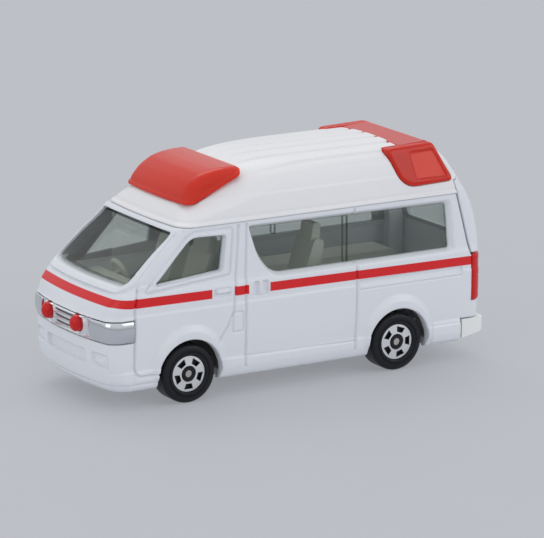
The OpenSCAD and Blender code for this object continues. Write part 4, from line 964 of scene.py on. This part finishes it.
# name, place, size, power, colour
LIGHTS = [
    ("key", (-0.2, -0.75, 1.3), (0.8, 0.8), 3.2, (1, 0.985, 0.96)),
    ("side_fill", (-0.7, 0.75, 0.5), (0.6, 0.5), 1.5, (1, 1, 1)),
    ("front_fill", (0.9, 0.3, 0.4), (0.5, 0.5), 0.7, (1, 1, 1)),
]

scene = bpy.context.scene
scene.view_settings.view_transform = "Standard"
world = bpy.data.worlds.new("studio")
scene.world = world
world.use_nodes = True
sky = world.node_tree
backdrop = sky.nodes["Background"]
sky_place = sky.nodes.new("ShaderNodeTexCoord")
sky_split = sky.nodes.new("ShaderNodeSeparateXYZ")
sky_ramp = sky.nodes.new("ShaderNodeValToRGB")
sky.links.new(sky_place.outputs["Generated"], sky_split.inputs[0])
sky.links.new(sky_split.outputs[2], sky_ramp.inputs["Fac"])
sky.links.new(sky_ramp.outputs["Color"], backdrop.inputs["Color"])
stops = sky_ramp.color_ramp.elements
for at, level in SKY_STOPS:
    stops.new(at).color = [c * level for c in SKY_TINT] + [1]
# the ramp's own first and last stop
stops.remove(stops[-1])
stops.remove(stops[0])
backdrop.inputs["Strength"].default_value = SKY_STRENGTH

floor_mesh = bpy.data.meshes.new("floor")
corners = [(FLOOR_HALF * x, FLOOR_HALF * y, 0) for x, y in ((-1, -1), (1, -1), (1, 1), (-1, 1))]
floor_mesh.from_pydata(corners, [], [(0, 1, 2, 3)])
floor = bpy.data.objects.new("floor", floor_mesh)
scene.collection.objects.link(floor)
paper = material("floor", PAPER, PAPER_ROUGH, speck=0.01, fine=40)
tree = Paint(paper)
rays = tree.node("LightPath").outputs
seen = tree.some(*[rays[k] for k in ("Is Camera Ray", "Is Glossy Ray", "Is Transmission Ray")])
tree.surface(tree.op("MULTIPLY", seen, EVEN_SHARE), tree.shader, tree.node("Emission", Color=EVEN))
floor_mesh.materials.append(paper)

for name, where, size, power, colour in LIGHTS:
    light = bpy.data.lights.new(name, "AREA")
    light.shape = "RECTANGLE"
    light.size, light.size_y = size
    light.energy = power
    light.color = colour
    ob = bpy.data.objects.new(name, light)
    ob.location = where
    ob.rotation_euler = (Vector(AIM) - Vector(where)).to_track_quat("-Z", "Y").to_euler()
    scene.collection.objects.link(ob)

# ---- camera, solved from the photo: angles in degrees, picture places in its pixels ----
CAM_TURN, CAM_LIFT, CAM_ROLL, CAM_AWAY = 31.17, 14.2, 0.35, 0.6559
TARGET, TARGET_AT = (0, 0, 0.01536), (255.44, 281.18)
PHOTO_W, PHOTO_H, FOCAL, SENSOR = 544, 538, 3856.62, 36
CLIP = 0.01, 20

turn, lift, roll = (math.radians(a) for a in (CAM_TURN, CAM_LIFT, CAM_ROLL))
target = Vector(TARGET)
to_cam = Vector((math.sin(turn) * math.cos(lift), math.cos(turn) * math.cos(lift), math.sin(lift)))
right = Vector((-math.cos(turn), math.sin(turn), 0))
upward = to_cam.cross(right)
right, upward = (right * math.cos(roll) + upward * math.sin(roll),
                 upward * math.cos(roll) - right * math.sin(roll))
eye = target + to_cam * CAM_AWAY
shift = right * (PHOTO_W / 2 - TARGET_AT[0]) + upward * (TARGET_AT[1] - PHOTO_H / 2)
ahead = (target + shift * CAM_AWAY / FOCAL - eye).normalized()
right = (right - ahead * right.dot(ahead)).normalized()
upward = right.cross(ahead)
cam = bpy.data.cameras.new("camera")
cam.sensor_width, cam.lens = SENSOR, FOCAL * SENSOR / PHOTO_W
cam.clip_start, cam.clip_end = CLIP
cam_ob = bpy.data.objects.new("camera", cam)
cam_ob.matrix_world = Matrix([(right[k], upward[k], -ahead[k], eye[k]) for k in range(3)] + [(0, 0, 0, 1)])
scene.collection.objects.link(cam_ob)
scene.camera = cam_ob
